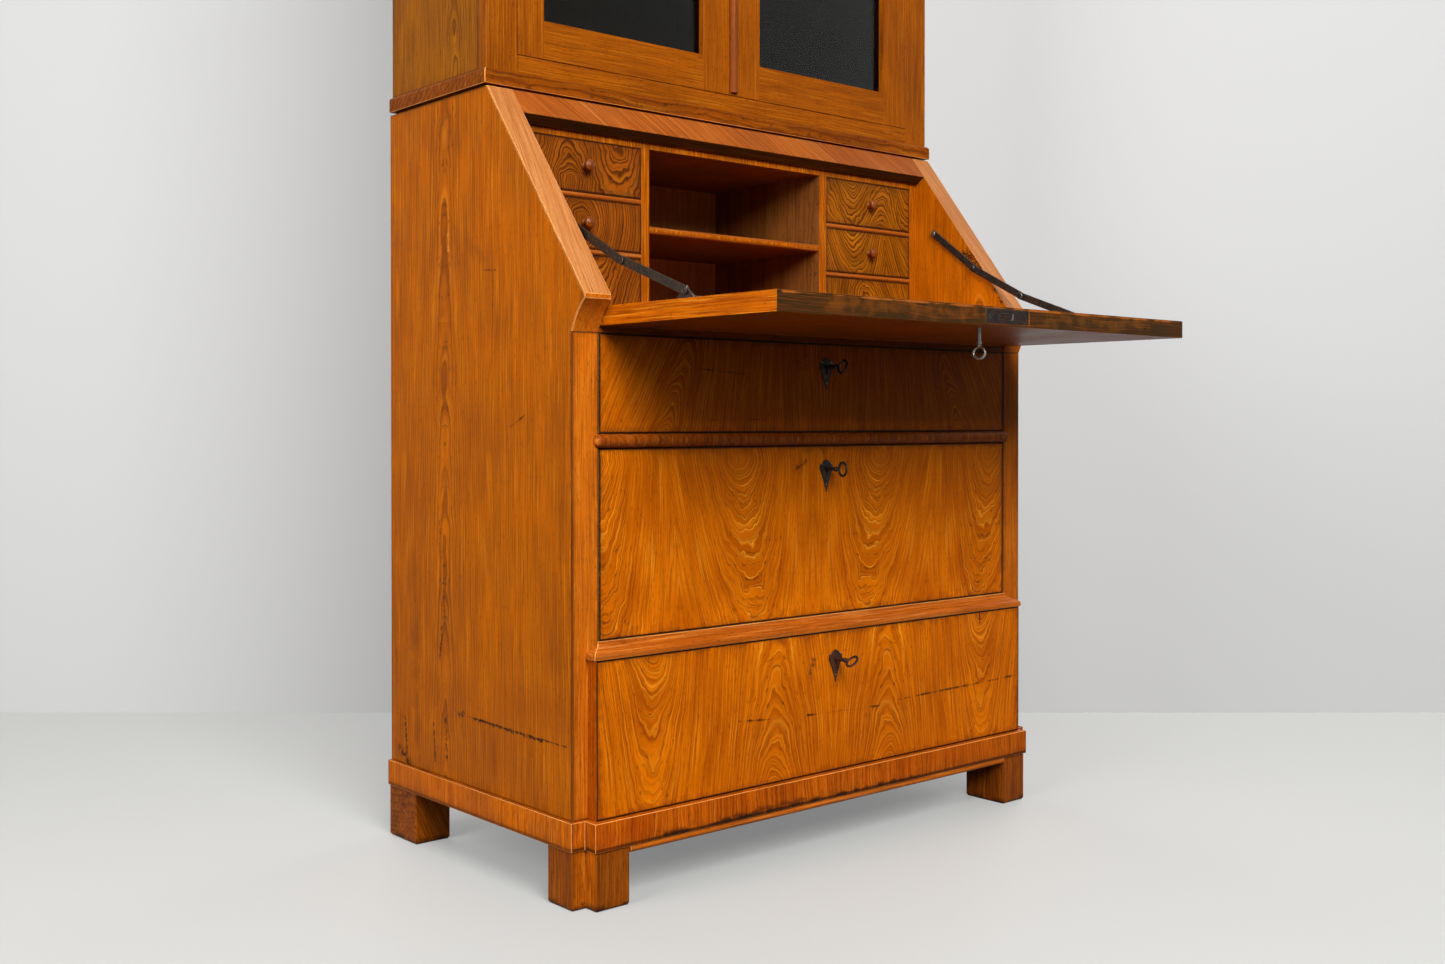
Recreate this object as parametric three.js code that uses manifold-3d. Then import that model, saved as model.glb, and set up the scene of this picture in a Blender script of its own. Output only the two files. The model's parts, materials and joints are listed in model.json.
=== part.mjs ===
// A slant front secretaire: a desk with three long drawers and a fall, a pigeonhole case behind it,
// and a glazed cabinet on top. Millimetres, +Z up, the fall open. X runs across the front and is
// centred, Y runs from the drawer fronts to the back, Z starts at the floor.
import * as THREE from 'three';
import { mergeVertices } from 'three/addons/utils/BufferGeometryUtils.js';
import Module from 'manifold-3d';

const wasm = await Module();
wasm.setup();

// Desk carcass
const deskWidth = 950;
const deskDepth = 494;
const footHeight = 80;
const plinthHeight = 39;
const bottomBay = 215;
const stepHeight = 22;
const middleBay = 261;
const beadHeight = 19;
const topBay = 137;
const deskRailHeight = 9;
const lidThickness = 26;
const cavettoHeight = 42.5;
const cavettoReach = 29.4;
const cavettoHollow = 3.1;
const noseHeight = 6.5;
const slopeRise = 312.5;
const slopeRun = 239;
const sideThickness = 24;
const frontWidth = 43;
const facingThickness = 4;
const stileDepth = 30;
const backThickness = 12;
const topBoardThickness = 18;
const bottomBoardThickness = 18;
const lowerDustBoard = 20;
const guideHeight = 20;
const slopeRailThickness = 20;

// Clearances
const seatGap = 0.3;
const drawerGap = 0.8;
const drawerSideGap = 1.5;
const lidGap = 2;
const hingeGap = 0.5;
const overrun = 5;

// Plinth and feet
const plinthProud = 6;
const breakInset = 16;
const breakDepth = 30;
const plinthWall = 26;
const plinthBeadRadius = 5;
const plinthBeadSink = 0.6;
const footInset = 3;
const frontFootWidth = 78;
const frontFootDepth = 57;
const backFootWidth = 60;
const backFootDepth = 82;
const footWear = 4;

// Mouldings of the desk
const beadOverlap = 9;
const stepProud = 22;
const stepOverlap = 22;
const stepFillet = 6;
const stepCrown = 3;

// Long drawers
const frontBoard = 22;
const blockedFront = 20;
const blockedOverlap = 18;
const drawerSide = 12;
const drawerBottom = 8;
const drawerBackGap = 22;
const drawerSideDrop = 12;

// Pigeonhole case
const galleryFront = 202;
const galleryWall = 16;
const galleryBase = 8;
const galleryTop = 11;
const galleryRail = 8;
const galleryBackBoard = 6;
const smallDrawerWidth = 214;
const upperRowHeight = 79;
const middleRowHeight = 76;
const lowerRowHeight = 89;
const openShelfThickness = 12;
const openShelfHeight = 129;
const smallFront = 12;
const smallSide = 7;
const smallBottom = 5;
const smallBackGap = 14;
const smallGap = 0.6;
const knobRadius = 9;
const knobNeck = 4.5;
const knobReach = 18;

// Fall, its lock and stays
const lidLength = 342;
const lidSideGap = 2;
const lockPlateWidth = 93;
const lockPlateHeight = 20;
const lockPlateThickness = 3;
const lockCaseWidth = 72;
const lockCaseDepth = 66;
const lockCaseThickness = 16;
const lockPocketHeight = 9;
const lockBackset = 50;
const stayWidth = 12;
const stayThickness = 2.5;
const stayBoss = 1.5;
const stayPin = 3;
const stayPinGap = 0.3;
const stayPinDepth = 8;
const stayHead = 5;
const stayWallY = 155.6;
const stayWallHeight = 183.7;
const stayLidReach = 164.6;
const stayLidHeight = 11;
const staySag = 18;
const stayKneeShares = [0.31, 0.63];
const bracketFoot = 18;
const bracketLength = 34;

// Keys and shields
const keyShaft = 2.6;
const keyBowWidth = 10.5;
const keyBowLength = 8;
const keyBowWire = 1.9;
const keyReach = 34;
const keyCollar = 4.2;
const keyCollarLength = 3;
const keyDepth = 19;
const keyBitReach = 10;
const keyBitLength = 7;
const keyBitThickness = 2.2;
const keyTip = 1;
const keyPocketRadius = 13;
const keyPocketWall = 8;
const keyHoleGap = 0.6;
const shieldWidth = 28;
const shieldHeight = 50;
const shieldThickness = 2;
const shieldDrop = 14;
const topKeyDrop = 36;
const middleKeyDrop = 36;
const bottomKeyDrop = 43;

// Glazed cabinet
const cabinetEndInset = 2;
const cabinetBackInset = 4;
const cabinetFront = 215;
const cabinetBaseGap = 3.5;
const cabinetBaseHeight = 23;
const cabinetBaseProud = 6;
const cabinetBaseRound = 5;
const cabinetHeight = 880;
const cabinetSide = 20;
const cabinetBack = 10;
const faceThickness = 21;
const faceStile = 53;
const faceBottomRail = 26.5;
const faceTopRail = 33;
const corniceHeight = 62;
const corniceReach = 34;
const corniceFillet = 8;
const corniceFrieze = 12;
const shelfThickness = 16;
const lowerShelfHeight = 262;
const upperShelfHeight = 556;
const doorGap = 0.9;
const doorThickness = 20;
const leftOuterStile = 46;
const leftInnerStile = 56;
const rightOuterStile = 58;
const rightInnerStile = 66;
const doorBottomRail = 57;
const doorTopRail = 57;
const glassThickness = 3;
const glassRebate = 7;
const glassInset = 12;
const astragalWidth = 15;
const astragalDrop = 4;
const doorKeyShare = 0.45;

// Heights above the floor
const plinthTop = footHeight + plinthHeight;
const stepUnder = plinthTop + bottomBay;
const stepTop = stepUnder + stepHeight;
const beadUnder = stepTop + middleBay;
const beadTop = beadUnder + beadHeight;
const stileTop = beadTop + topBay;
const deskUnder = stileTop + deskRailHeight;
const deskTop = deskUnder + lidThickness;
const cavettoTop = stileTop + cavettoHeight;
const noseTop = cavettoTop + noseHeight;
const caseTop = noseTop + slopeRise;
const galleryTopHeight = deskTop + galleryBase + lowerRowHeight + middleRowHeight + upperRowHeight
  + galleryRail + galleryRail + galleryTop;
const cabinetBase = caseTop + cabinetBaseGap;
const cabinetFloor = cabinetBase + cabinetBaseHeight;
const cabinetTop = cabinetFloor + cabinetHeight;
const doorUnder = cabinetFloor + faceBottomRail + doorGap;
const doorTop = cabinetTop - faceTopRail - doorGap;

// Widths and depths that several pieces share
const halfDesk = deskWidth / 2;
const halfInside = halfDesk - sideThickness;
const halfOpening = halfDesk - frontWidth;
const backFront = deskDepth - backThickness;
const slopeAngle = Math.atan2(slopeRise, slopeRun);
const slopeUp = [Math.cos(slopeAngle), Math.sin(slopeAngle)];
const slopeOut = [-slopeUp[1], slopeUp[0]];
const hingeY = (lidThickness - (noseTop - deskTop) * slopeUp[0]) / slopeUp[1] - cavettoReach;
const slopeTopY = slopeRun - cavettoReach;
const lidFront = hingeY - lidLength;
const halfLid = halfOpening - lidSideGap;
const halfCabinet = halfDesk - cabinetEndInset;
const cabinetRear = deskDepth - cabinetBackInset;
const halfDoorway = halfCabinet - faceStile;
const halfAstragal = astragalWidth / 2;

function finish(color, roughness, metalness) {
  return new THREE.MeshStandardMaterial({ color, roughness, metalness });
}

const sideElm = finish(0xb8691f, 0.38, 0);
const frontElm = finish(0xc4701e, 0.34, 0);
const paleElm = finish(0xd8893f, 0.36, 0);
const darkElm = finish(0x8a4a18, 0.5, 0);
const pine = finish(0xa9743c, 0.7, 0);
const iron = finish(0x3a2f2a, 0.55, 0.85);
const glass = finish(0x20242a, 0.06, 0);

const secretaire = new THREE.Group();

function place(name, geometry, material) {
  const mesh = new THREE.Mesh(geometry, material);
  mesh.name = name;
  secretaire.add(mesh);
  return mesh;
}

function toSolid(geometry) {
  const bare = geometry.clone();
  for (const key of Object.keys(bare.attributes)) {
    if (key !== 'position') bare.deleteAttribute(key);
  }
  const merged = mergeVertices(bare);
  return new wasm.Manifold(new wasm.Mesh({
    numProp: 3,
    vertProperties: new Float32Array(merged.attributes.position.array),
    triVerts: new Uint32Array(merged.index.array),
  }));
}

function toGeometry(solid) {
  const mesh = solid.getMesh();
  const geometry = new THREE.BufferGeometry();
  geometry.setAttribute('position', new THREE.BufferAttribute(mesh.vertProperties, 3));
  geometry.setIndex(new THREE.BufferAttribute(mesh.triVerts, 1));
  return geometry;
}

const join = (...parts) => toGeometry(parts.map(toSolid).reduce((whole, part) => whole.add(part)));
const cut = (body, ...tools) => toGeometry(
  tools.map(toSolid).reduce((left, tool) => left.subtract(tool), toSolid(body)),
);

// Puts both ends of a unit shape exactly in place along one axis, so that faces that touch agree
function stretch(geometry, axis, low, high) {
  const { position } = geometry.attributes;
  for (let i = 0; i < position.count; i += 1) {
    position.setComponent(i, axis, position.getComponent(i, axis) > 0 ? high : low);
  }
  return geometry;
}

function box(x0, x1, y0, y1, z0, z1) {
  const unit = new THREE.BoxGeometry(1, 1, 1);
  return stretch(stretch(stretch(unit, 0, x0, x1), 1, y0, y1), 2, z0, z1);
}

function extrude(points, from, to, holes = []) {
  const shape = new THREE.Shape(points.map(([u, v]) => new THREE.Vector2(u, v)));
  for (const hole of holes) shape.holes.push(hole);
  const unit = new THREE.ExtrudeGeometry(shape, { depth: 1, bevelEnabled: false, steps: 1 });
  return stretch(unit, 2, from, to);
}

// Prisms along Z, along X from (y, z) points, and along Y from (x, z) points
const prismZ = (points, z0, z1, holes) => extrude(points, z0, z1, holes);
const alongX = new THREE.Matrix4().makeBasis(
  new THREE.Vector3(0, 1, 0), new THREE.Vector3(0, 0, 1), new THREE.Vector3(1, 0, 0),
);
const alongY = alongX.clone().invert();
const prismX = (points, x0, x1, holes) => extrude(points, x0, x1, holes).applyMatrix4(alongX);
const prismY = (points, y0, y1) => extrude(points.map(([x, z]) => [z, x]), y0, y1).applyMatrix4(alongY);

// A solid whose sections, each a ring of as many points, stand over one another
function loft(sections) {
  const count = sections[0].length;
  const positions = sections.flat(2);
  const faces = [];
  for (let level = 0; level + 1 < sections.length; level += 1) {
    for (let i = 0; i < count; i += 1) {
      const a = level * count + i;
      const b = level * count + (i + 1) % count;
      faces.push(a, b, b + count, a, b + count, a + count);
    }
  }
  const last = (sections.length - 1) * count;
  for (const [i, j, k] of THREE.ShapeUtils.triangulateShape(
    sections[0].map(([x, y]) => new THREE.Vector2(x, y)), [],
  )) {
    faces.push(i, k, j, last + i, last + j, last + k);
  }
  const geometry = new THREE.BufferGeometry();
  geometry.setAttribute('position', new THREE.Float32BufferAttribute(positions, 3));
  geometry.setIndex(faces);
  return geometry;
}

function cylinderX(radius, x0, x1, y, z, sides = 16) {
  const unit = new THREE.CylinderGeometry(radius, radius, 1, sides);
  return stretch(unit.rotateZ(Math.PI / 2).translate(0, y, z), 0, x0, x1);
}

function cylinderY(radius, y0, y1, x, z, sides = 16) {
  const unit = new THREE.CylinderGeometry(radius, radius, 1, sides);
  return stretch(unit.translate(x, 0, z), 1, y0, y1);
}

function cylinderZ(radius, z0, z1, x, y, sides = 16) {
  const unit = new THREE.CylinderGeometry(radius, radius, 1, sides);
  return stretch(unit.rotateX(Math.PI / 2).translate(x, y, 0), 2, z0, z1);
}

function mirrorX(geometry) {
  const mirrored = geometry.index ? geometry.toNonIndexed() : geometry.clone();
  const { array } = mirrored.attributes.position;
  for (let i = 0; i < array.length; i += 9) {
    for (let k = 0; k < 9; k += 3) array[i + k] = -array[i + k];
    for (let k = 0; k < 3; k += 1) {
      const swap = array[i + 3 + k];
      array[i + 3 + k] = array[i + 6 + k];
      array[i + 6 + k] = swap;
    }
  }
  return mirrored;
}

// Points on an arc from one point to another that bows to the right of the way by hollow
function hollowArc([y0, z0], [y1, z1], hollow, steps = 8) {
  const chord = Math.hypot(y1 - y0, z1 - z0);
  const [uy, uz] = [(y1 - y0) / chord, (z1 - z0) / chord];
  const radius = (chord * chord / 4 + hollow * hollow) / (2 * hollow);
  const half = Math.asin(chord / 2 / radius);
  const points = [];
  for (let i = 0; i <= steps; i += 1) {
    const turn = half * (2 * i / steps - 1);
    const along = chord / 2 + radius * Math.sin(turn);
    const across = radius * Math.cos(turn) - (radius - hollow);
    points.push([y0 + uy * along + uz * across, z0 + uz * along - uy * across]);
  }
  return points;
}

// The front edge of the desk's sides, from the top of the stile to the top of the slope
const cheekEdge = [
  ...hollowArc([0, stileTop], [-cavettoReach, cavettoTop], cavettoHollow),
  [-cavettoReach, noseTop],
  [slopeTopY, caseTop],
];

function inset(path, depth) {
  const normals = path.slice(1).map(([y, z], i) => {
    const [dy, dz] = [y - path[i][0], z - path[i][1]];
    const length = Math.hypot(dy, dz);
    return [dz / length, -dy / length];
  });
  return path.map(([y, z], i) => {
    if (i === 0) return [y + depth, z];
    const before = normals[i - 1];
    if (i === path.length - 1) return [y + depth / before[0], z];
    const after = normals[i];
    const share = depth / (1 + before[0] * after[0] + before[1] * after[1]);
    return [y + (before[0] + after[0]) * share, z + (before[1] + after[1]) * share];
  });
}

// A place given along the closed fall and out of its inner face
const onSlope = (along, out) => [
  hingeY + slopeUp[0] * along + slopeOut[0] * out,
  deskTop + slopeUp[1] * along + slopeOut[1] * out,
];

function makeSide() {
  const edge = inset(cheekEdge, facingThickness + seatGap);
  const near = facingThickness + seatGap;
  const outline = [[near, plinthTop], ...edge, [deskDepth, caseTop], [deskDepth, plinthTop]];
  return prismX(outline, -halfDesk, -halfInside);
}

function makeStile() {
  const outline = [
    [-halfDesk, 0], [-halfOpening, 0], [-halfOpening, stileDepth], [-halfInside, stileDepth],
    [-halfInside, facingThickness], [-halfDesk, facingThickness],
  ];
  return prismZ(outline, plinthTop, stileTop);
}

// The sloping face of the side with the board that lines the desk behind it
function makeCheek() {
  const facingOutline = [...cheekEdge, ...inset(cheekEdge, facingThickness).reverse()];
  const facing = prismX(facingOutline, -halfDesk, -halfInside);
  const liningOutline = [...cheekEdge, [backFront, caseTop], [backFront, stileTop]];
  const lining = prismX(liningOutline, -halfInside, -halfOpening);
  const wallPin = stayPin + stayPinGap;
  const socket = cylinderX(
    wallPin, -halfOpening - stayPinDepth, -halfOpening + overrun, stayWallY, deskTop + stayWallHeight,
  );
  return cut(join(facing, lining), socket);
}

function makeDustBoard(under, top) {
  const board = box(-halfInside, halfInside, stileDepth, backFront, under, top);
  const lip = box(-halfOpening, halfOpening, 0, stileDepth, under, top);
  const guides = [-1, 1].map((hand) => {
    const [a, b] = [hand * halfInside, hand * halfOpening].sort((p, q) => p - q);
    return box(a, b, stileDepth, backFront, top, top + guideHeight);
  });
  return join(board, lip, ...guides);
}

function makeBead() {
  const radius = beadHeight / 2;
  const half = halfOpening + beadOverlap - radius;
  const profile = [];
  const steps = 8;
  for (let i = 0; i <= steps; i += 1) {
    const turn = Math.PI / 2 * i / steps;
    profile.push(new THREE.Vector2(radius * Math.sin(turn), -half - radius * Math.cos(turn)));
  }
  const mirrored = profile.map((point) => new THREE.Vector2(point.x, -point.y)).reverse();
  const rod = new THREE.LatheGeometry([...profile, ...mirrored], 24).rotateZ(Math.PI / 2);
  rod.translate(0, 0, beadUnder + radius);
  const behind = box(-halfDesk, halfDesk, 0, radius + overrun, beadUnder - overrun, beadTop + overrun);
  return cut(rod, behind);
}

// An ogee that steps out over the blocked bottom drawer, with mitred ends
function makeStepMoulding() {
  const swellShare = 0.11;
  const steps = 10;
  const rise = stepHeight - stepFillet - stepCrown;
  const sections = [stepSection(1, stepUnder)];
  for (let i = 0; i <= steps; i += 1) {
    const share = i / steps;
    const outShare = 1 - share + swellShare * Math.sin(2 * Math.PI * share);
    sections.push(stepSection(outShare, stepUnder + stepFillet + rise * share));
  }
  sections.push(stepSection(0, stepTop));
  return loft(sections);
}

function stepSection(outShare, z) {
  const ledge = stepCrown * (1 - outShare);
  const front = -stepProud * outShare - ledge;
  const half = halfOpening + stepOverlap * outShare + ledge;
  return [[-half, front, z], [half, front, z], [half, 0, z], [-half, 0, z]];
}

function plinthOutline(shrink) {
  const outer = halfDesk + plinthProud - shrink;
  const step = halfDesk - breakInset - shrink;
  const front = -plinthProud + shrink;
  const breakFront = -breakDepth + shrink;
  return { outer, step, front, breakFront };
}

function makePlinth() {
  const { outer, step, front, breakFront } = plinthOutline(0);
  const leftFront = [[-outer, front], [-step, front], [-step, breakFront]];
  const rightFront = [[step, breakFront], [step, front], [outer, front]];
  const outline = [...leftFront, ...rightFront, [outer, deskDepth], [-outer, deskDepth]];
  const hollow = new THREE.Path();
  const halfHollow = outer - plinthWall;
  hollow.moveTo(-halfHollow, plinthWall);
  hollow.lineTo(-halfHollow, deskDepth - plinthWall);
  hollow.lineTo(halfHollow, deskDepth - plinthWall);
  hollow.lineTo(halfHollow, plinthWall);
  hollow.closePath();
  const frame = prismZ(outline, footHeight, plinthTop, [hollow]);
  const beadEnd = plinthOutline(footInset).outer - frontFootWidth - seatGap;
  const bead = cylinderX(
    plinthBeadRadius, -beadEnd, beadEnd, breakFront + plinthBeadRadius,
    footHeight + plinthBeadSink - plinthBeadRadius,
  );
  return join(frame, bead);
}

// Feet lose a little at the floor, where they are worn
function wornFoot(outline, centre) {
  const worn = outline.map(([x, y]) => [
    x + Math.sign(centre[0] - x) * footWear / 2, y + Math.sign(centre[1] - y) * footWear / 2,
  ]);
  return loft([
    worn.map(([x, y]) => [x, y, 0]),
    outline.map(([x, y]) => [x, y, footWear]),
    outline.map(([x, y]) => [x, y, footHeight]),
  ]);
}

function makeFrontFoot() {
  const { outer, step, front, breakFront } = plinthOutline(footInset);
  const inner = -outer + frontFootWidth;
  const rear = front + frontFootDepth;
  const leftFront = [[-outer, front], [-step, front], [-step, breakFront]];
  const outline = [...leftFront, [inner, breakFront], [inner, rear], [-outer, rear]];
  return wornFoot(outline, [(-step + inner) / 2, (front + rear) / 2]);
}

function makeBackFoot() {
  const { outer } = plinthOutline(footInset);
  const inner = -outer + backFootWidth;
  const near = deskDepth - backFootDepth;
  const outline = [[-outer, near], [inner, near], [inner, deskDepth], [-outer, deskDepth]];
  return wornFoot(outline, [(inner - outer) / 2, (near + deskDepth) / 2]);
}

function makeDeskBoard() {
  const board = box(-halfOpening, halfOpening, hingeY + hingeGap, backFront, deskUnder, deskTop);
  const rail = box(-halfOpening, halfOpening, 0, stileDepth, stileTop, deskUnder);
  return join(board, rail);
}

function makeSlopeRail() {
  const inner = lidThickness - slopeRailThickness;
  const start = lidLength + lidGap;
  const across = slopeRailThickness / slopeUp[1];
  const foot = [onSlope(start, inner), onSlope(start, lidThickness)];
  const outline = [...foot, [slopeTopY, caseTop], [slopeTopY + across, caseTop]];
  return prismX(outline, -halfOpening + seatGap, halfOpening - seatGap);
}

function makeTopBoard() {
  const near = slopeTopY + slopeRailThickness / slopeUp[1] + seatGap;
  return box(-halfOpening, halfOpening, near, backFront, caseTop - topBoardThickness, caseTop);
}

function makeBench() {
  const sides = { left_side: makeSide(), left_stile: makeStile(), left_cheek: makeCheek() };
  const materials = { left_side: sideElm, left_stile: paleElm, left_cheek: paleElm };
  for (const [name, geometry] of Object.entries(sides)) {
    place(name, geometry, materials[name]);
    place(name.replace('left', 'right'), mirrorX(geometry), materials[name]);
  }
  place('lower_back', box(-halfInside, halfInside, backFront, deskDepth, plinthTop, caseTop), pine);
  place('bottom_board', makeDustBoard(plinthTop, plinthTop + bottomBoardThickness), pine);
  place('lower_dust_board', makeDustBoard(stepTop - lowerDustBoard, stepTop), pine);
  place('upper_dust_board', makeDustBoard(beadUnder, beadTop), pine);
  place('half_round_bead', makeBead(), frontElm);
  place('step_moulding', makeStepMoulding(), frontElm);
  place('desk_board', makeDeskBoard(), frontElm);
  place('slope_rail', makeSlopeRail(), paleElm);
  place('top_board', makeTopBoard(), pine);
}

function makeBase() {
  place('plinth_frame', makePlinth(), frontElm);
  const feet = { left_front_foot: makeFrontFoot(), left_back_foot: makeBackFoot() };
  for (const [name, geometry] of Object.entries(feet)) {
    place(name, geometry, sideElm);
    place(name.replace('left', 'right'), mirrorX(geometry), sideElm);
  }
}

// A key along +Y with its collar on the face at y = 0 and its bow in front of it
function makeKey() {
  const bow = new THREE.TorusGeometry(keyBowLength, keyBowWire, 8, 20);
  bow.scale(keyBowWidth / keyBowLength, 1, 1).rotateY(Math.PI / 2).translate(0, -keyReach, 0);
  const stem = -keyReach + keyBowLength;
  const shaft = cylinderY(keyShaft, stem, keyDepth, 0, 0, 12);
  const collar = cylinderY(keyCollar, stem + keyCollarLength, stem + 2 * keyCollarLength, 0, 0, 12);
  const bitEnd = keyDepth - keyTip;
  const bit = box(-keyBitThickness / 2, keyBitThickness / 2, bitEnd - keyBitLength, bitEnd, -keyBitReach, 0);
  return join(bow, shaft, collar, bit);
}

// What a board needs cut for the key: a keyhole and, behind the wall that it leaves, room for the bit
function keyRoom(x, face, z, rear) {
  const hole = keyShaft + keyHoleGap;
  const slot = keyBitThickness / 2 + keyHoleGap;
  const slotEnd = keyBitReach + keyHoleGap;
  return [
    cylinderY(hole, face - overrun, rear, x, z),
    box(x - slot, x + slot, face - overrun, rear, z - slotEnd, z),
    cylinderY(keyPocketRadius, face + keyPocketWall, rear, x, z, 24),
  ];
}

function makeShield(x, face, z) {
  const half = shieldWidth / 2;
  const top = shieldDrop;
  const tip = shieldDrop - shieldHeight;
  const shoulderShare = 0.62;
  const shoulder = half * shoulderShare;
  const shoulderTop = top * shoulderShare;
  const shape = new THREE.Shape();
  shape.moveTo(0, tip);
  shape.quadraticCurveTo(shoulder / 2, tip / 2, half, 0);
  shape.quadraticCurveTo(half, shoulderTop, shoulder, shoulderTop);
  shape.quadraticCurveTo(shoulder / 2, top, 0, top);
  shape.quadraticCurveTo(-shoulder / 2, top, -shoulder, shoulderTop);
  shape.quadraticCurveTo(-half, shoulderTop, -half, 0);
  shape.quadraticCurveTo(-shoulder / 2, tip / 2, 0, tip);
  const outline = shape.getPoints(5).slice(1).map((point) => [x + point.x, z + point.y]);
  const [hole, slot] = keyRoom(x, face - overrun, z, face + overrun);
  return cut(prismY(outline, face - shieldThickness, face), hole, slot);
}

// The open box of a drawer behind its front
function drawerBox(half, near, far, under, top, wall, floor) {
  const body = box(-half, half, near, far, under, top);
  const room = box(-half + wall, half - wall, near + wall, far - wall, under + floor, top + overrun);
  return cut(body, room);
}

function makeLongDrawer(name, drawer) {
  const { front, rear, half, under, top, boxUnder, boxTop, keyZ } = drawer;
  const board = box(-half, half, front, rear, under, top);
  const tray = drawerBox(
    halfOpening - drawerSideGap, rear - drawerSide, backFront - drawerBackGap,
    boxUnder, boxTop - drawerSideDrop, drawerSide, drawerBottom,
  );
  const body = cut(join(board, tray), ...keyRoom(0, front, keyZ, rear + overrun));
  place(`${name}_drawer`, body, frontElm);
  place(`${name}_drawer_shield`, makeShield(0, front, keyZ), iron);
  place(`${name}_drawer_key`, makeKey().translate(0, front - shieldThickness - seatGap, keyZ), iron);
}

function makeLongDrawers() {
  const half = halfOpening - drawerSideGap;
  const topUnder = beadTop + drawerGap;
  const topTop = stileTop - drawerGap;
  const middleUnder = stepTop + drawerGap;
  const middleTop = beadUnder - drawerGap;
  const bottomUnder = plinthTop + drawerGap;
  const bottomTop = stepUnder - drawerGap;
  makeLongDrawer('top', {
    front: 0, rear: frontBoard, half, under: topUnder, top: topTop,
    boxUnder: beadTop + seatGap, boxTop: topTop, keyZ: topTop - topKeyDrop,
  });
  makeLongDrawer('middle', {
    front: 0, rear: frontBoard, half, under: middleUnder, top: middleTop,
    boxUnder: stepTop + seatGap, boxTop: middleTop, keyZ: middleTop - middleKeyDrop,
  });
  makeLongDrawer('bottom', {
    front: -blockedFront, rear: -seatGap, half: halfOpening + blockedOverlap,
    under: bottomUnder, top: bottomTop,
    boxUnder: plinthTop + bottomBoardThickness + seatGap, boxTop: bottomTop, keyZ: bottomTop - bottomKeyDrop,
  });
}

// Rows of small drawers from the bottom: where each starts and how high its opening is
const lowerRow = { under: deskTop + galleryBase, height: lowerRowHeight };
const middleRow = { under: lowerRow.under + lowerRow.height + galleryRail, height: middleRowHeight };
const upperRow = { under: middleRow.under + middleRow.height + galleryRail, height: upperRowHeight };
const smallRows = { lower: lowerRow, middle: middleRow, upper: upperRow };

function makeGallery() {
  const near = galleryFront;
  const far = backFront;
  const bay = halfOpening - galleryWall - smallDrawerWidth;
  const nose = galleryRail / 2;
  const base = box(-halfOpening, halfOpening, near, far, deskTop, deskTop + galleryBase);
  const top = box(-halfOpening, halfOpening, near, far, galleryTopHeight - galleryTop, galleryTopHeight);
  const back = box(
    -halfOpening, halfOpening, far - galleryBackBoard, far, deskTop, galleryTopHeight,
  );
  const parts = [top, back];
  for (const hand of [-1, 1]) {
    const between = (a, b) => [hand * a, hand * b].sort((p, q) => p - q);
    const [endLow, endHigh] = between(halfOpening - galleryWall, halfOpening);
    parts.push(box(endLow, endHigh, near, far, deskTop, galleryTopHeight));
    const [postLow, postHigh] = between(bay - galleryWall, bay);
    parts.push(box(postLow, postHigh, near, far, deskTop, galleryTopHeight));
    const [railLow, railHigh] = between(bay - galleryWall / 2, halfOpening - galleryWall / 2);
    for (const row of [lowerRow, middleRow]) {
      const under = row.under + row.height;
      parts.push(box(railLow, railHigh, near + nose, far, under, under + galleryRail));
      parts.push(cylinderX(nose, railLow, railHigh, near + nose, under + nose, 12));
    }
  }
  const shelfUnder = deskTop + galleryBase + openShelfHeight;
  const shelfNose = openShelfThickness / 2;
  const shelfHalf = bay - galleryWall / 2;
  const shelfTop = shelfUnder + openShelfThickness;
  parts.push(box(-shelfHalf, shelfHalf, near + shelfNose, far, shelfUnder, shelfTop));
  parts.push(cylinderX(shelfNose, -shelfHalf, shelfHalf, near + shelfNose, shelfUnder + shelfNose));
  return join(base, ...parts);
}

// A turned knob: shares of the head's radius, of the neck's radius and of the reach
function makeKnob(x, face, z) {
  const headShares = [[0.55, 0.96], [0.92, 0.8], [1, 0.62], [0.8, 0.42]];
  const neckShares = [[1, 0.25], [1, 0.12], [1.4, 0]];
  const head = headShares.map(([wide, out]) => new THREE.Vector2(knobRadius * wide, -knobReach * out));
  const neck = neckShares.map(([wide, out]) => new THREE.Vector2(knobNeck * wide, -knobReach * out));
  const tenon = smallFront / 2;
  const profile = [
    new THREE.Vector2(0, -knobReach), ...head, ...neck,
    new THREE.Vector2(knobNeck, tenon), new THREE.Vector2(0, tenon),
  ];
  return new THREE.LatheGeometry(profile, 16).translate(x, face, z);
}

function makeSmallDrawer(hand, row) {
  const centre = hand * (halfOpening - galleryWall - smallDrawerWidth / 2);
  const half = smallDrawerWidth / 2 - smallGap;
  const under = row.under + seatGap;
  const top = row.under + row.height - smallGap;
  const front = galleryFront;
  const rear = front + smallFront;
  const board = box(-half, half, front, rear, under, top);
  const far = backFront - galleryBackBoard - smallBackGap;
  const tray = drawerBox(half, rear - smallSide, far, under, top - smallSide, smallSide, smallBottom);
  return join(board, tray, makeKnob(0, front, (under + top) / 2)).translate(centre, 0, 0);
}

function makePigeonholes() {
  place('pigeonhole_case', makeGallery(), frontElm);
  for (const [hand, side] of [[-1, 'left'], [1, 'right']]) {
    for (const [rowName, row] of Object.entries(smallRows)) {
      place(`${side}_${rowName}_small_drawer`, makeSmallDrawer(hand, row), frontElm);
    }
  }
}

const lockMiddle = deskUnder + lidThickness / 2;
const lidKeyY = lidFront + lockBackset;

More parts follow.
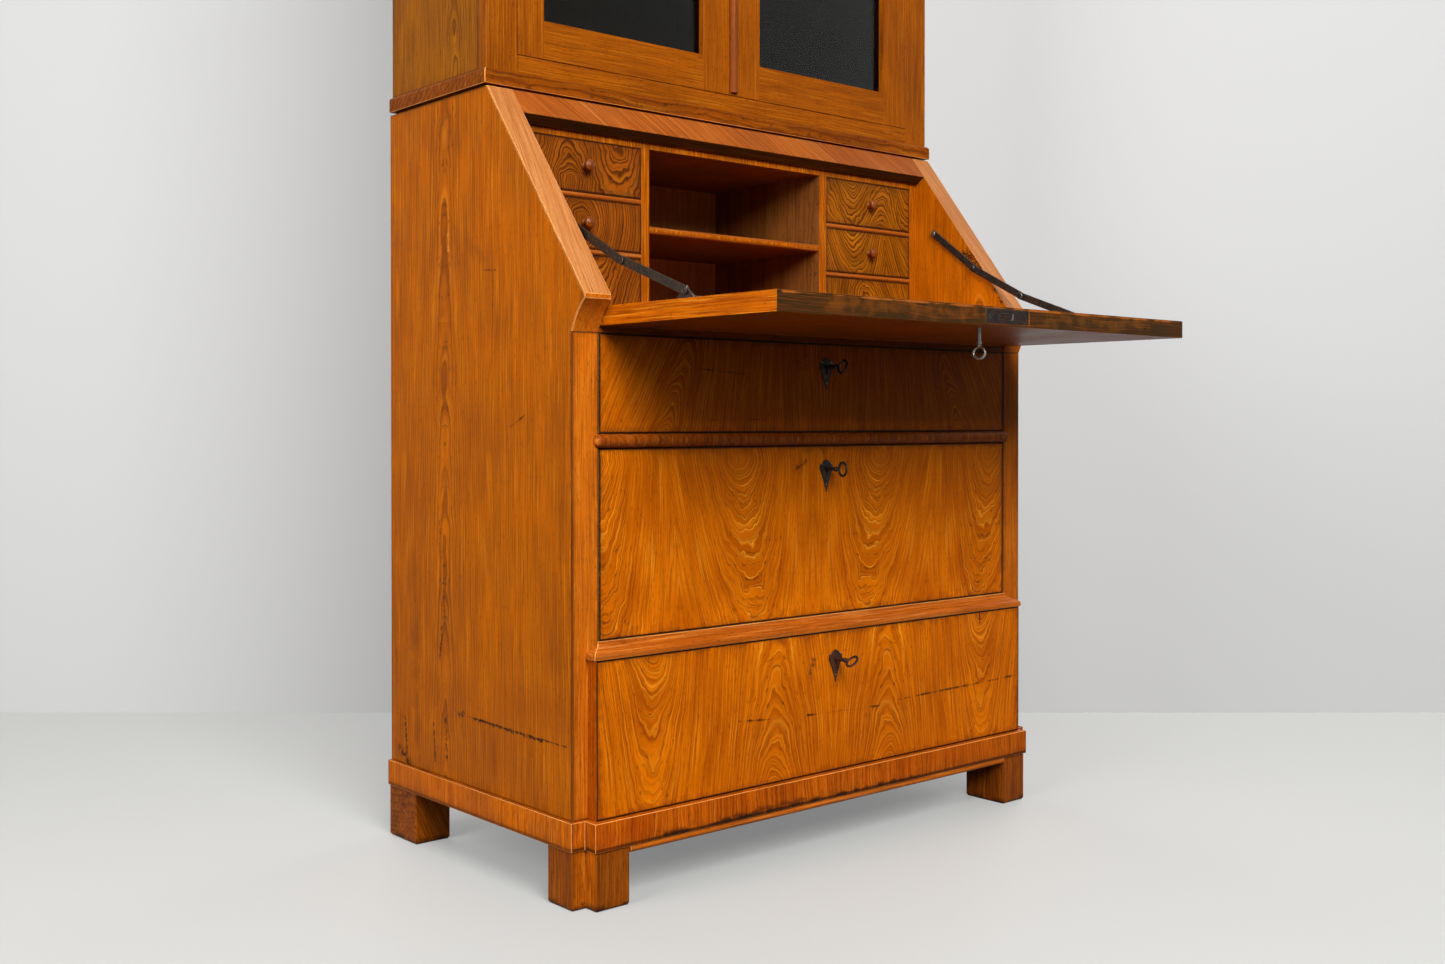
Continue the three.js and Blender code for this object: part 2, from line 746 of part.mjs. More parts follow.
function makeLid() {
  const panel = box(-halfLid, halfLid, lidFront, hingeY - hingeGap, deskUnder, deskTop);
  const grow = seatGap;
  const halfPlate = lockPlateWidth / 2 + grow;
  const halfCase = lockCaseWidth / 2 + grow;
  const plateHigh = lockPlateHeight / 2 + grow;
  const caseHigh = lockCaseThickness / 2 + grow;
  const plate = box(
    -halfPlate, halfPlate, lidFront - overrun, lidFront + lockPlateThickness + grow,
    lockMiddle - plateHigh, lockMiddle + plateHigh,
  );
  const mortise = box(
    -halfCase, halfCase, lidFront, lidFront + lockCaseDepth + grow,
    lockMiddle - caseHigh, lockMiddle + caseHigh,
  );
  const hole = keyShaft + keyHoleGap;
  const slot = keyBitThickness / 2 + keyHoleGap;
  const keyhole = cylinderZ(hole, deskUnder - overrun, lockMiddle, 0, lidKeyY);
  const keySlot = box(
    -slot, slot, lidKeyY, lidKeyY + keyBitReach + keyHoleGap, deskUnder - overrun, lockMiddle,
  );
  return cut(panel, plate, mortise, keyhole, keySlot);
}

function makeLidLock() {
  const low = lockMiddle - lockCaseThickness / 2;
  const halfPlate = lockPlateWidth / 2;
  const plate = box(
    -halfPlate, halfPlate, lidFront, lidFront + lockPlateThickness,
    lockMiddle - lockPlateHeight / 2, lockMiddle + lockPlateHeight / 2,
  );
  const halfCase = lockCaseWidth / 2;
  const body = box(
    -halfCase, halfCase, lidFront + lockPlateThickness / 2, lidFront + lockCaseDepth,
    low, low + lockCaseThickness,
  );
  const slot = keyBitThickness / 2 + keyHoleGap;
  const pocketUnder = lidKeyBitUnder - keyHoleGap;
  return cut(
    join(plate, body),
    cylinderZ(keyShaft + keyHoleGap, low - overrun, pocketUnder + lockPocketHeight, 0, lidKeyY),
    box(-slot, slot, lidKeyY, lidKeyY + keyBitReach + keyHoleGap, low - overrun, pocketUnder + keyTip),
    cylinderZ(keyPocketRadius, pocketUnder, pocketUnder + lockPocketHeight, 0, lidKeyY, 24),
  );
}

const lidKeyFace = deskUnder - seatGap;
const lidKeyBitUnder = lidKeyFace + keyDepth - keyTip - keyBitLength;

function makeFall() {
  place('fall', makeLid(), frontElm);
  place('fall_lock', makeLidLock(), iron);
  // the key hangs from the underside, which is the outer face of the closed fall
  place('fall_key', makeKey().rotateX(Math.PI / 2).translate(0, lidKeyY, lidKeyFace), iron);
}

// Iron stays: three flat links on each side, from a pin in the cheek to a bracket on the fall
const stayWall = [stayWallY, deskTop + stayWallHeight];
const stayLid = [hingeY - stayLidReach, deskTop + stayLidHeight];

function stayKnee(share) {
  const [dy, dz] = [stayLid[0] - stayWall[0], stayLid[1] - stayWall[1]];
  const length = Math.hypot(dy, dz);
  const y = stayWall[0] + dy * share - dz / length * staySag;
  const z = stayWall[1] + dz * share + dy / length * staySag;
  return [y, z];
}

const stayKnees = stayKneeShares.map(stayKnee);

function flatLink([y0, z0], [y1, z1], x0) {
  const angle = Math.atan2(z1 - z0, y1 - y0);
  const radius = stayWidth / 2;
  const outline = [];
  const steps = 8;
  for (const [y, z, start] of [[y1, z1, angle - Math.PI / 2], [y0, z0, angle + Math.PI / 2]]) {
    for (let i = 0; i <= steps; i += 1) {
      const turn = start + Math.PI * i / steps;
      outline.push([y + radius * Math.cos(turn), z + radius * Math.sin(turn)]);
    }
  }
  return prismX(outline, x0, x0 + stayThickness);
}

function makeStay() {
  const pitch = stayThickness + seatGap;
  const first = -halfOpening + stayBoss;
  const [kneeA, kneeB] = stayKnees;
  const bore = stayPin + stayPinGap;
  const pinEnd = -halfOpening - stayPinDepth + seatGap;
  const wallPin = cylinderX(stayPin, pinEnd, first + stayThickness, ...stayWall);
  const boss = cylinderX(stayHead, -halfOpening + seatGap, first + stayThickness, ...stayWall);
  const kneePin = cylinderX(stayPin, first, first + 2 * pitch, ...kneeA);
  const kneeHead = cylinderX(stayHead, first + 2 * pitch, first + 2 * pitch + stayBoss, ...kneeA);
  const upper = join(flatLink(stayWall, kneeA, first), wallPin, boss, kneePin, kneeHead);
  const second = first + pitch;
  const kneeBore = cylinderX(bore, second - overrun, second + overrun, ...kneeA);
  const middle = cut(flatLink(kneeA, kneeB, second), kneeBore);
  const third = second + pitch;
  const button = cylinderX(stayHead, third + stayThickness / 2, third + stayThickness + stayBoss, ...kneeB);
  const lower = cut(
    join(flatLink(kneeB, stayLid, third), button),
    cylinderX(bore, third - overrun, third + overrun, ...stayLid),
  );
  return { upper, middle, lower, bracket: makeBracket(third + pitch) };
}

function makeBracket(x0) {
  const [y, z] = stayLid;
  const half = stayWidth / 2;
  const halfFoot = bracketLength / 2;
  const shelf = deskTop + seatGap;
  const upright = prismX([
    [y - halfFoot, shelf], [y + halfFoot, shelf], [y + halfFoot, shelf + stayThickness],
    [y + half, z], [y + half / 2, z + half], [y - half / 2, z + half], [y - half, z],
    [y - halfFoot, shelf + stayThickness],
  ], x0, x0 + stayThickness);
  const foot = box(x0, x0 + bracketFoot, y - halfFoot, y + halfFoot, shelf, shelf + stayThickness);
  const pin = cylinderX(stayPin, x0 - stayThickness, x0 + stayThickness, y, z);
  return join(upright, foot, pin);
}

function makeStays() {
  const { upper, middle, lower, bracket } = makeStay();
  const pieces = { upper_link: upper, middle_link: middle, lower_link: lower, fall_bracket: bracket };
  for (const [name, geometry] of Object.entries(pieces)) {
    place(`left_stay_${name}`, geometry, iron);
    place(`right_stay_${name}`, mirrorX(geometry), iron);
  }
}

// A slab with a moulded edge on its front and ends and a plain back; points give reach and height
function mouldedSlab(points, half, near, far) {
  return loft(points.map(([reach, z]) => {
    const [side, front] = [half + reach, near - reach];
    return [[-side, front, z], [side, front, z], [side, far, z], [-side, far, z]];
  }));
}

function makeCabinetBase() {
  const proud = cabinetBaseProud;
  const round = cabinetBaseRound;
  const points = [[-proud, caseTop], [-proud, cabinetBase], [proud, cabinetBase]];
  const steps = 4;
  for (let i = 0; i <= steps; i += 1) {
    const turn = Math.PI / 2 * i / steps;
    points.push([proud - round + round * Math.cos(turn), cabinetFloor - round + round * Math.sin(turn)]);
  }
  return mouldedSlab(points, halfCabinet, cabinetFront, cabinetRear);
}

// A plain cornice: a frieze, a hollow and a flat crown
function makeCornice() {
  const hollow = corniceReach - corniceFillet;
  const hollowUnder = cabinetTop + corniceFrieze;
  const hollowTop = cabinetTop + corniceHeight - corniceFrieze;
  const points = [[0, cabinetTop], [0, hollowUnder], [corniceFillet / 2, hollowUnder]];
  const steps = 8;
  for (let i = 0; i <= steps; i += 1) {
    const turn = Math.PI / 2 * i / steps;
    points.push([
      corniceFillet / 2 + hollow * (1 - Math.cos(turn)),
      hollowUnder + (hollowTop - hollowUnder) * Math.sin(turn),
    ]);
  }
  points.push([corniceReach, hollowTop], [corniceReach, cabinetTop + corniceHeight]);
  return mouldedSlab(points, halfCabinet, cabinetFront, cabinetRear);
}

function rectangle(x0, x1, z0, z1) {
  return [[x0, z0], [x1, z0], [x1, z1], [x0, z1]];
}

function makeFaceFrame() {
  const outline = rectangle(-halfCabinet, halfCabinet, cabinetFloor, cabinetTop);
  const panel = prismY(outline, cabinetFront, cabinetFront + faceThickness);
  const doorway = box(
    -halfDoorway, halfDoorway, cabinetFront - overrun, cabinetFront + faceThickness + overrun,
    cabinetFloor + faceBottomRail, cabinetTop - faceTopRail,
  );
  return cut(panel, doorway);
}

function makeCabinetCase() {
  const near = cabinetFront + faceThickness;
  const back = cabinetRear - cabinetBack;
  const halfRoom = halfCabinet - cabinetSide;
  const side = box(-halfCabinet, -halfRoom, near, cabinetRear, cabinetFloor, cabinetTop);
  place('cabinet_base', makeCabinetBase(), sideElm);
  place('cabinet_left_side', side, sideElm);
  place('cabinet_right_side', mirrorX(side), sideElm);
  place('cabinet_back', box(-halfRoom, halfRoom, back, cabinetRear, cabinetFloor, cabinetTop), pine);
  place('cabinet_face_frame', makeFaceFrame(), sideElm);
  place('cornice', makeCornice(), sideElm);
  for (const [name, height] of [['lower_shelf', lowerShelfHeight], ['upper_shelf', upperShelfHeight]]) {
    const under = cabinetFloor + height;
    const shelf = box(-halfRoom, halfRoom, near, back, under, under + shelfThickness);
    place(`cabinet_${name}`, shelf, darkElm);
  }
}

const doorKeyX = rightInnerStile / 2 + halfAstragal / 2;
const doorKeyZ = doorUnder + (doorTop - doorUnder) * doorKeyShare;

function makeDoor(name, low, high, lowStile, highStile, extras, cuts) {
  const near = cabinetFront;
  const far = near + doorThickness;
  const [sightLow, sightHigh] = [low + lowStile, high - highStile];
  const [sillZ, headZ] = [doorUnder + doorBottomRail, doorTop - doorTopRail];
  const slab = prismY(rectangle(low, high, doorUnder, doorTop), near, far);
  const sight = box(sightLow, sightHigh, near - overrun, far + overrun, sillZ, headZ);
  const rebate = box(
    sightLow - glassRebate, sightHigh + glassRebate, near + glassInset, far + overrun,
    sillZ - glassRebate, headZ + glassRebate,
  );
  place(`${name}_door`, cut(join(slab, ...extras), sight, rebate, ...cuts), sideElm);
  const edge = glassRebate - seatGap;
  const paneNear = near + glassInset + seatGap;
  place(`${name}_door_glass`, box(
    sightLow - edge, sightHigh + edge, paneNear, paneNear + glassThickness, sillZ - edge, headZ + edge,
  ), glass);
}

function makeDoors() {
  const outer = halfDoorway - doorGap;
  const meeting = -halfAstragal;
  makeDoor('left', -outer, meeting - doorGap, leftOuterStile, leftInnerStile, [], []);
  const [low, high] = [doorUnder + astragalDrop, doorTop - astragalDrop];
  const astragal = cylinderZ(halfAstragal, low, high, 0, cabinetFront, 20);
  const strip = cut(astragal, box(
    -halfAstragal - overrun, halfAstragal + overrun, cabinetFront + seatGap, cabinetFront + astragalWidth,
    doorUnder, doorTop,
  ));
  const rear = cabinetFront + doorThickness + overrun;
  const room = keyRoom(doorKeyX, cabinetFront, doorKeyZ, rear);
  makeDoor('right', meeting, outer, rightInnerStile, rightOuterStile, [strip], room);
  place('door_key', makeKey().translate(doorKeyX, cabinetFront - seatGap, doorKeyZ), iron);
}

makeBench();
makeBase();
makeLongDrawers();
makePigeonholes();
makeFall();
makeStays();
makeCabinetCase();
makeDoors();

// The origin is on the floor, under the middle of the open secretaire's box
secretaire.position.y = -(lidFront + deskDepth) / 2;

export default secretaire;
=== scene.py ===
import json
import math
from functools import partial

import bmesh
import bpy
from mathutils import Matrix, Vector


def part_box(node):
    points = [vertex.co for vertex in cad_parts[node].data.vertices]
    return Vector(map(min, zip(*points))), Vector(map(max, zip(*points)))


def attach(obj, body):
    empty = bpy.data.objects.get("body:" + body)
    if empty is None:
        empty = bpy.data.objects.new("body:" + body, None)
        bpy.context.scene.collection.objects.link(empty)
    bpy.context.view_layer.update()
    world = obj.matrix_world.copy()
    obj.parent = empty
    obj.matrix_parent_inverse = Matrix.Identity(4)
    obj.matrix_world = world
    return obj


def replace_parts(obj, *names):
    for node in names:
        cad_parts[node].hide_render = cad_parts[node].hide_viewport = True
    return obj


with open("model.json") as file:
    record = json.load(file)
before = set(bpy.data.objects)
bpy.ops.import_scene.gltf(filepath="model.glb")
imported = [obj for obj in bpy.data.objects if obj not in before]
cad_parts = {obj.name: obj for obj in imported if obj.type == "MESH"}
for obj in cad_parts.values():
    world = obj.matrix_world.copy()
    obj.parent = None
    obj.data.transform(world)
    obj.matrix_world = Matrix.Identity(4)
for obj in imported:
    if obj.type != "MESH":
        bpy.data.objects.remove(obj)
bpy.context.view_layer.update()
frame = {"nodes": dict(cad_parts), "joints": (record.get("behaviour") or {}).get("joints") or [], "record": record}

mm = 0.001
bodies = frame["record"]["behaviour"]["bodies"]
bodyOf = {node: body for body, members in bodies.items() for node in members}
sides = (("left", -1), ("right", 1))


def linear(hexColour):
    parts = [int(hexColour[i:i + 2], 16) / 255 for i in (1, 3, 5)]
    return [c / 12.92 if c <= 0.04045 else ((c + 0.055) / 1.055) ** 2.4 for c in parts] + [1]


# Links a node or socket to this socket, or sets its value
def feed(tree, socket, value):
    if isinstance(value, bpy.types.Node):
        value = next(made for made in value.outputs if made.enabled)
    if isinstance(value, bpy.types.NodeSocket):
        tree.links.new(value, socket)
    else:
        socket.default_value = value


def setSockets(tree, node, values):
    for name, value in values.items():
        feed(tree, node.inputs[name], value)


# A second word in a node's kind, as in "Math ADD", is the value of this setting
secondWord = {
    "Math": "operation", "VectorMath": "operation", "Mix": "data_type", "MapRange": "interpolation_type",
    "TexNoise": "noise_dimensions", "TexWhiteNoise": "noise_dimensions",
}


# Values go to the sockets in use, in order; names are settings or sockets
def addNode(tree, kind, *values, **named):
    kind, _, word = kind.partition(" ")
    node = tree.nodes.new(kind if "Node" in kind else f"ShaderNode{kind}")
    if word:
        setattr(node, secondWord[kind], word)
    for socket, value in zip([socket for socket in node.inputs if socket.enabled], values):
        feed(tree, socket, value)
    for name, value in named.items():
        if hasattr(node, name):
            setattr(node, name, value)
        else:
            feed(tree, node.inputs[name.replace("_", " ")], value)
    return node


# A new material with its tree, its shader and the function that adds nodes to it
def newMaterial(name):
    material = bpy.data.materials.new(name)
    material.use_nodes = True
    tree = material.node_tree
    return material, tree, tree.nodes["Principled BSDF"], partial(addNode, tree)


def newObject(name, data):
    thing = bpy.data.objects.new(name, data)
    bpy.context.scene.collection.objects.link(thing)
    return thing


# The camera stands where the photograph was taken; lamps are large and soft
studio = {
    "cameraPlace": (-1.6155, -1.6895, 0.6530),
    "yaw": 0.7153,            # radians from +Y towards +X
    "pitch": 0.0093,          # radians down
    "lens": 36.94,
    "shiftY": -0.0324,
    "nearClip": 0.02,
    "floor": "#949491",
    "floorHalf": 30,
    "wall": "#A2A2A1",
    "wallHalf": 6,
    "wallDistance": 3.32,     # along the view, where the photographed wall meets the floor
    "glow": 0.22,             # how far floor and wall show pale where no lamp reaches them; it lights nothing
    "bounce": "#222120",      # what the floor and wall send back to the desk
    "lamps": (                # name, place, size in metres, power in watts
        ("softKey", (-1.35, -3.25, 2.9), 2.1, 292),
        ("sideLight", (-3.3, -0.25, 1.8), 1.8, 100),
        ("softFill", (2.6, -2.2, 2.2), 2.5, 6),
        ("rightLight", (3.3, 0.9, 1.7), 2.0, 60),
        ("backLight", (0.5, 3.6, 2.0), 2.2, 60),
    ),
    "lampTarget": (0, 0, 0.75),
    "sky": "#DCDDDE",
    "skyStrength": 0.13,
}


def addCamera():
    camera = newObject("camera", bpy.data.cameras.new("camera"))
    camera.location = studio["cameraPlace"]
    camera.rotation_euler = (math.pi / 2 - studio["pitch"], 0, -studio["yaw"])
    camera.data.sensor_width = 36
    camera.data.lens = studio["lens"]
    camera.data.shift_y = studio["shiftY"]
    camera.data.clip_start = studio["nearClip"]
    bpy.context.scene.camera = camera


def addLamp(name, place, size, power):
    light = bpy.data.lights.new(name, "AREA")
    light.shape = "SQUARE"
    light.size = size
    light.energy = power
    lamp = newObject(name, light)
    lamp.location = place
    towards = Vector(studio["lampTarget"]) - Vector(place)
    lamp.rotation_euler = towards.to_track_quat("-Z", "Y").to_euler()


# 1 where the camera, a reflection or a pane looks at the background, 0 where it only lights the desk
def seenRays(tree):
    path = addNode(tree, "LightPath").outputs
    seen = addNode(tree, "Math MAXIMUM", path["Is Camera Ray"], path["Is Transmission Ray"])
    return addNode(tree, "Math MAXIMUM", seen, path["Is Glossy Ray"])


def addSky():
    world = bpy.data.worlds.new("sky")
    bpy.context.scene.world = world
    world.use_nodes = True
    tree = world.node_tree
    strength = addNode(tree, "MapRange", seenRays(tree), 0, 1, studio["skyStrength"], 1)
    setSockets(tree, tree.nodes["Background"], {"Color": linear(studio["sky"]), "Strength": strength})


# Painted plaster is matt; a wall seen from behind lets the other views through, and the lamps behind it
def stageMaterial(name, colour, seeThroughBack):
    material, tree, shader, add = newMaterial(name)
    seen = seenRays(tree)
    setSockets(tree, shader, {
        "Base Color": add("Mix RGBA", seen, linear(studio["bounce"]), linear(colour)),
        "Emission Color": (1, 1, 1, 1),
        "Emission Strength": add("Math MULTIPLY", seen, studio["glow"]),
        "Roughness": 0.75,
        "Specular IOR Level": 0.2,
    })
    if seeThroughBack:
        facing = add("NewGeometry").outputs["Backfacing"]
        clear = add("Math MAXIMUM", facing, add("LightPath").outputs["Is Shadow Ray"])
        mixed = add("MixShader", clear, shader, add("BsdfTransparent"))
        feed(tree, tree.nodes["Material Output"].inputs["Surface"], mixed)
    return material


def planeAt(name, half, matrix, material):
    mesh = bpy.data.meshes.new(name)
    flat = ((-half, -half, 0), (half, -half, 0), (half, half, 0), (-half, half, 0))
    mesh.from_pydata([matrix @ Vector(corner) for corner in flat], [], [(0, 1, 2, 3)])
    mesh.materials.append(material)
    return newObject(name, mesh)


def addStage():
    plaster = stageMaterial("palePlaster", studio["floor"], False)
    floor = planeAt("floor", studio["floorHalf"], Matrix.Identity(4), plaster)
    yaw = studio["yaw"]
    forward = Vector((math.sin(yaw), math.cos(yaw), 0))
    middle = Vector(studio["cameraPlace"]) + forward * studio["wallDistance"]
    middle.z = studio["wallHalf"] / 2
    upright = Matrix.Rotation(-yaw, 4, "Z") @ Matrix.Rotation(math.pi / 2, 4, "X")
    paleWall = stageMaterial("paleWall", studio["wall"], True)
    wall = planeAt("wall", studio["wallHalf"], Matrix.Translation(middle) @ upright, paleWall)


addCamera()
for lamp in studio["lamps"]:
    addLamp(*lamp)
addSky()
addStage()
bpy.context.scene.view_settings.view_transform = "Standard"
print("studio ready")


toneSockets = ("Base", "Dark", "Pale", "Pore")
tones = {                     # ground, late wood, early wood, pores
    "honey": ("#C26200", "#823400", "#F0A028", "#3E1800"),
    "side": ("#AE5800", "#7A3A00", "#D08420", "#421C00"),
    # pale and whitish: paler wood with a painted sheen, as on the sloping strips; also painted light on the case's
    # back
    "slope": ("#AE703C", "#8E5022", "#D8A874", "#6A3410"),
    "rail": ("#9A5016", "#74340A", "#C68444", "#502408"),
    "shaded": ("#8E4404", "#5A2602", "#B8721C", "#301402"),
    "polished": ("#7A3A0C", "#522406", "#A8682C", "#2C1204"),
    "stile": ("#BA600C", "#883C04", "#DC8C34", "#4C2002"),
    "plinth": ("#B45404", "#762C00", "#D98A2C", "#2E1202"),
    "band": ("#C46204", "#883C02", "#E09030", "#341402"),
    "foot": ("#AE5608", "#662A02", "#D08622", "#2C1404"),
    "moulding": ("#AA5610", "#7C3606", "#D6924A", "#4A2006"),
    "bead": ("#94460A", "#5E2404", "#D08630", "#341804"),
    "figured": ("#985206", "#4E2602", "#B87E18", "#341602"),
    "burr": ("#8C4606", "#4A2002", "#A0641A", "#301202"),
    "inside": ("#8A5020", "#5C3212", "#A47038", "#3A1E0A"),
    "cabinet": ("#8E5004", "#5C3002", "#AC701C", "#321A02"),
    "cabinetBase": ("#7F3C02", "#582600", "#A0600F", "#2C1202"),
    "door": ("#8E4802", "#642E00", "#B06C14", "#321602"),
    # dark brown: the fall's front edge, and painted shade under the slope rail
    "edge": ("#422408", "#241A08", "#8A4210", "#120C04"),
    "pine": ("#A9743C", "#80501F", "#C4955A", "#5E3A18"),
    # near-black: painted shade for the inside of the cases, the back boards' inner faces and the cabinet's shelves
    "cavity": ("#26160A", "#180E06", "#35200F", "#100904"),
    # near-black: painted shade in the gaps round the long drawers
    "dirt": ("#140B05", "#0E0804", "#1E1208", "#0A0603"),
    # pale honey for eased edges: wear, and a painted highlight along the arris
    "worn": ("#D08C46", "#A86228", "#E8B478", "#8A4C1C"),
}

# Rings of an elm board sawn or sliced near the tangent. Position is in mm: across, depth and along the board.
# A ring at distance r from the pith shows where across^2 + open = r^2, and open grows by climb for each mm
# along, so a positive climb gives arches and a negative one gives cups.
figureNumbers = {
    "Centre": 0, "Spacing": 900, "Level": 0, "Open": 400, "Climb": 1, "Round": 0, "Alternate": 0, "Total": 0,
    "Slant": 0, "Fan": -400, "Ring": 4.5, "Drift": 12, "Wiggle": 3, "Line": 0.6, "Band": 0.4, "Fibre": 0.5,
    "Speck": 0.5,
}
# How the trunk grew: mm, or shares of a ring
habit = {
    "fanWidth": 200,          # over which a fan sets in
    "openByDepth": 55.0,      # how fast the cut opens into the board
    "openDrift": 22.5,
    "flameReach": (12, 85),   # from the middle, where the rings waver most and least
    "lineReach": (8, 95),     # the same for pale early wood
    "bandReach": (8, 120),    # and for dark late wood
    "yearPatch": 20,          # of rings that grew alike
    "yearSpread": 3.2,        # how uneven the years are
    "holeSpacing": 46,        # flight holes, pricks and small dents, a few to the hand's breadth
    "holeTint": "#1C0D04",
}
grains = {                    # size in mm across, deep and along, detail, and a place in the noise of its own
    "bend": ((110, 110, 260), 1.0, 0.0),
    "openDrift": ((80, 90, 90), 1.0, 7.0),
    "slow": ((24, 24, 30), 1.0, 3.0),
    "quick": ((9, 9, 12), 1.0, 4.0),
    "fibre": ((2.1, 3.0, 75), 3.0, 1.0),
    "gleam": ((2.2, 4.0, 130), 1.0, 17.0),
    "streak": ((10, 30, 240), 2.0, 5.0),
    "patina": ((100, 100, 140), 3.0, 9.0),
    "pore": ((1.3, 2.0, 11), 1.0, 11.0),
    "patchy": ((50, 50, 100), 2.0, 13.0),
}


def makeElmFigure():
    tree = bpy.data.node_groups.new("elmFigure", "ShaderNodeTree")
    colours = {key: linear(colour) for key, colour in zip(toneSockets, tones["honey"])}
    for kind, sockets in (("Vector", {"Position": (0, 0, 0)}), ("Float", figureNumbers), ("Color", colours)):
        for name, value in sockets.items():
            socket = tree.interface.new_socket(name, in_out="INPUT", socket_type=f"NodeSocket{kind}")
            socket.default_value = value
    for name, kind in (("Color", "Color"), ("Tone", "Float"), ("Height", "Float")):
        tree.interface.new_socket(name, in_out="OUTPUT", socket_type=f"NodeSocket{kind}")
    given = tree.nodes.new("NodeGroupInput").outputs
    made = tree.nodes.new("NodeGroupOutput")
    add = partial(addNode, tree)
    total, spacing = given["Total"], given["Spacing"]
    across, depth, along = add("SeparateXYZ", given["Position"]).outputs

    def grain(kind, source=given["Position"]):
        size, detail, offset = grains[kind]
        scaled = add("VectorMath MULTIPLY", source, [1 / length for length in size])
        return add("TexNoise 4D", scaled, offset, 1.0, detail, 0.55)

    # the trunk bends slowly, and a fan spreads the grain away from the middle of the board
    rise = add("Math SUBTRACT", along, given["Level"])
    fanShare = add("MapRange", add("Math SUBTRACT", across, given["Fan"]), 0, habit["fanWidth"], 0, 1)
    leaning = add("Math MULTIPLY", add("Math MULTIPLY", rise, given["Slant"]), fanShare)
    bend = add("Math SUBTRACT", grain("bend"), 0.5)
    offset = add("Math SUBTRACT", add("Math ADD", across, leaning), given["Centre"])
    folded = add("Math PINGPONG", add("Math MULTIPLY_ADD", bend, given["Drift"], offset), spacing)
    flipped = add("Math GREATER_THAN", folded, add("Math MULTIPLY", spacing, 0.5))
    flipped = add("Math MULTIPLY", flipped, given["Alternate"])
    near = add("Math MULTIPLY_ADD", flipped, add("Math MULTIPLY_ADD", folded, -2.0, spacing), folded)

    # how open the cut is at this height, and so the distance from the pith
    bowed = add("Math MULTIPLY", add("Math MULTIPLY", rise, rise), given["Round"])
    opened = add("Math ADD", add("Math MULTIPLY_ADD", rise, given["Climb"], given["Open"]), bowed)
    openDrift = add("MapRange", grain("openDrift"), 0, 1, -habit["openDrift"], habit["openDrift"])
    opened = add("Math MULTIPLY_ADD", depth, habit["openByDepth"], opened)
    opened = add("Math MULTIPLY_ADD", openDrift, given["Drift"], opened)
    mirrored = add("Math MULTIPLY_ADD", opened, -2.0, total)
    opened = add("Math MAXIMUM", add("Math MULTIPLY_ADD", flipped, mirrored, opened), 0.0)
    radius = add("Math SQRT", add("Math MULTIPLY_ADD", near, near, opened))
    far = add("Math ADD", add("Math DIVIDE", total, spacing), spacing)
    radius = add("Math MULTIPLY_ADD", flipped, add("Math MULTIPLY_ADD", radius, -2.0, far), radius)

    # the flame, where the cut runs along the rings, is where they waver most
    flame = add("MapRange SMOOTHSTEP", near, *habit["flameReach"], 1, 0.14)
    slow = add("MapRange", grain("slow"), 0, 1, -0.8, 0.8)
    quick = add("MapRange", grain("quick"), 0, 1, -0.2, 0.2)
    waver = add("Math MULTIPLY", add("Math MULTIPLY", add("Math ADD", slow, quick), given["Wiggle"]), flame)
    radius = add("Math ADD", radius, waver)
    uneven = add("TexNoise 1D", add("Math MULTIPLY", radius, 1 / habit["yearPatch"]), 1.0, 2.0)
    years = add("Math MULTIPLY_ADD", uneven, habit["yearSpread"], add("Math DIVIDE", radius, given["Ring"]))
    season = add("Math FRACT", years)
    yearTone = add("Math POWER", add("TexWhiteNoise 1D", add("Math FLOOR", years)), 0.7)

    # fibres and pores follow the rings, so they bend round the flames
    ringed = add("CombineXYZ", radius, depth, along)
    fibre, gleam, streak = (grain(kind, ringed) for kind in ("fibre", "gleam", "streak"))
    patina = grain("patina")
    pore = add("MapRange", grain("pore", ringed), 0.60, 0.70, 0, 1)

    # pale early wood opens each year, and the late wood darkens to its end
    early = add("MapRange", season, 0.0, 0.22, 1, 0)
    opening = add("MapRange", season, 0.94, 1.0, 0, 1)
    late = add("MapRange SMOOTHSTEP", season, 0.45, 0.93, 0, 1)
    patchy = add("MapRange", grain("patchy"), 0.36, 0.62, 0.12, 1)
    lineShare = add("MapRange", near, *habit["lineReach"], 1.0, 0.22)
    strength = add("Math MULTIPLY", add("Math MULTIPLY", yearTone, patchy), lineShare)
    paleShare = add("Math MULTIPLY", add("Math MAXIMUM", early, opening), strength)
    paleShare = add("Math MULTIPLY", paleShare, given["Line"], use_clamp=True)
    calm = add("MapRange", near, *habit["bandReach"], 1.0, 0.55)
    darkShare = add("Math MULTIPLY", add("Math MULTIPLY", late, given["Band"]), calm)
    darkShare = add("Math ADD", darkShare, add("MapRange", streak, 0.3, 0.7, 0.46, -0.16))
    darkShare = add("Math ADD", darkShare, add("MapRange", patina, 0.32, 0.68, 0.36, -0.18), use_clamp=True)
    gleaming = add("Math MULTIPLY", add("MapRange", gleam, 0.54, 0.74, 0.0, 0.6), given["Fibre"])
    fibrous = add("Math MULTIPLY", add("MapRange", fibre, 0.47, 0.68, 0.0, 1.25), given["Fibre"])
    colour = add("Mix RGBA", darkShare, given["Base"], given["Dark"])
    colour = add("Mix RGBA", gleaming, colour, given["Pale"])
    colour = add("Mix RGBA", paleShare, colour, given["Pale"])
    colour = add("Mix RGBA", fibrous, colour, given["Dark"])
    colour = add("Mix RGBA", add("Math MULTIPLY", pore, 0.6), colour, given["Pore"])

    cells = add("TexVoronoi", given["Position"], 1 / habit["holeSpacing"])
    chosen = add("Math GREATER_THAN", add("SeparateXYZ", cells.outputs["Color"]), 0.55)
    hole = add("Math MULTIPLY", add("MapRange", cells, 0.018, 0.034, 1, 0), chosen)
    holeShare = add("Math MULTIPLY", hole, given["Speck"])
    colour = add("Mix RGBA", holeShare, colour, linear(habit["holeTint"]))
    rough = add("Math SUBTRACT", fibre, add("Math ADD", pore, hole))
    setSockets(tree, made, {"Color": colour, "Tone": patina, "Height": rough})
    return tree


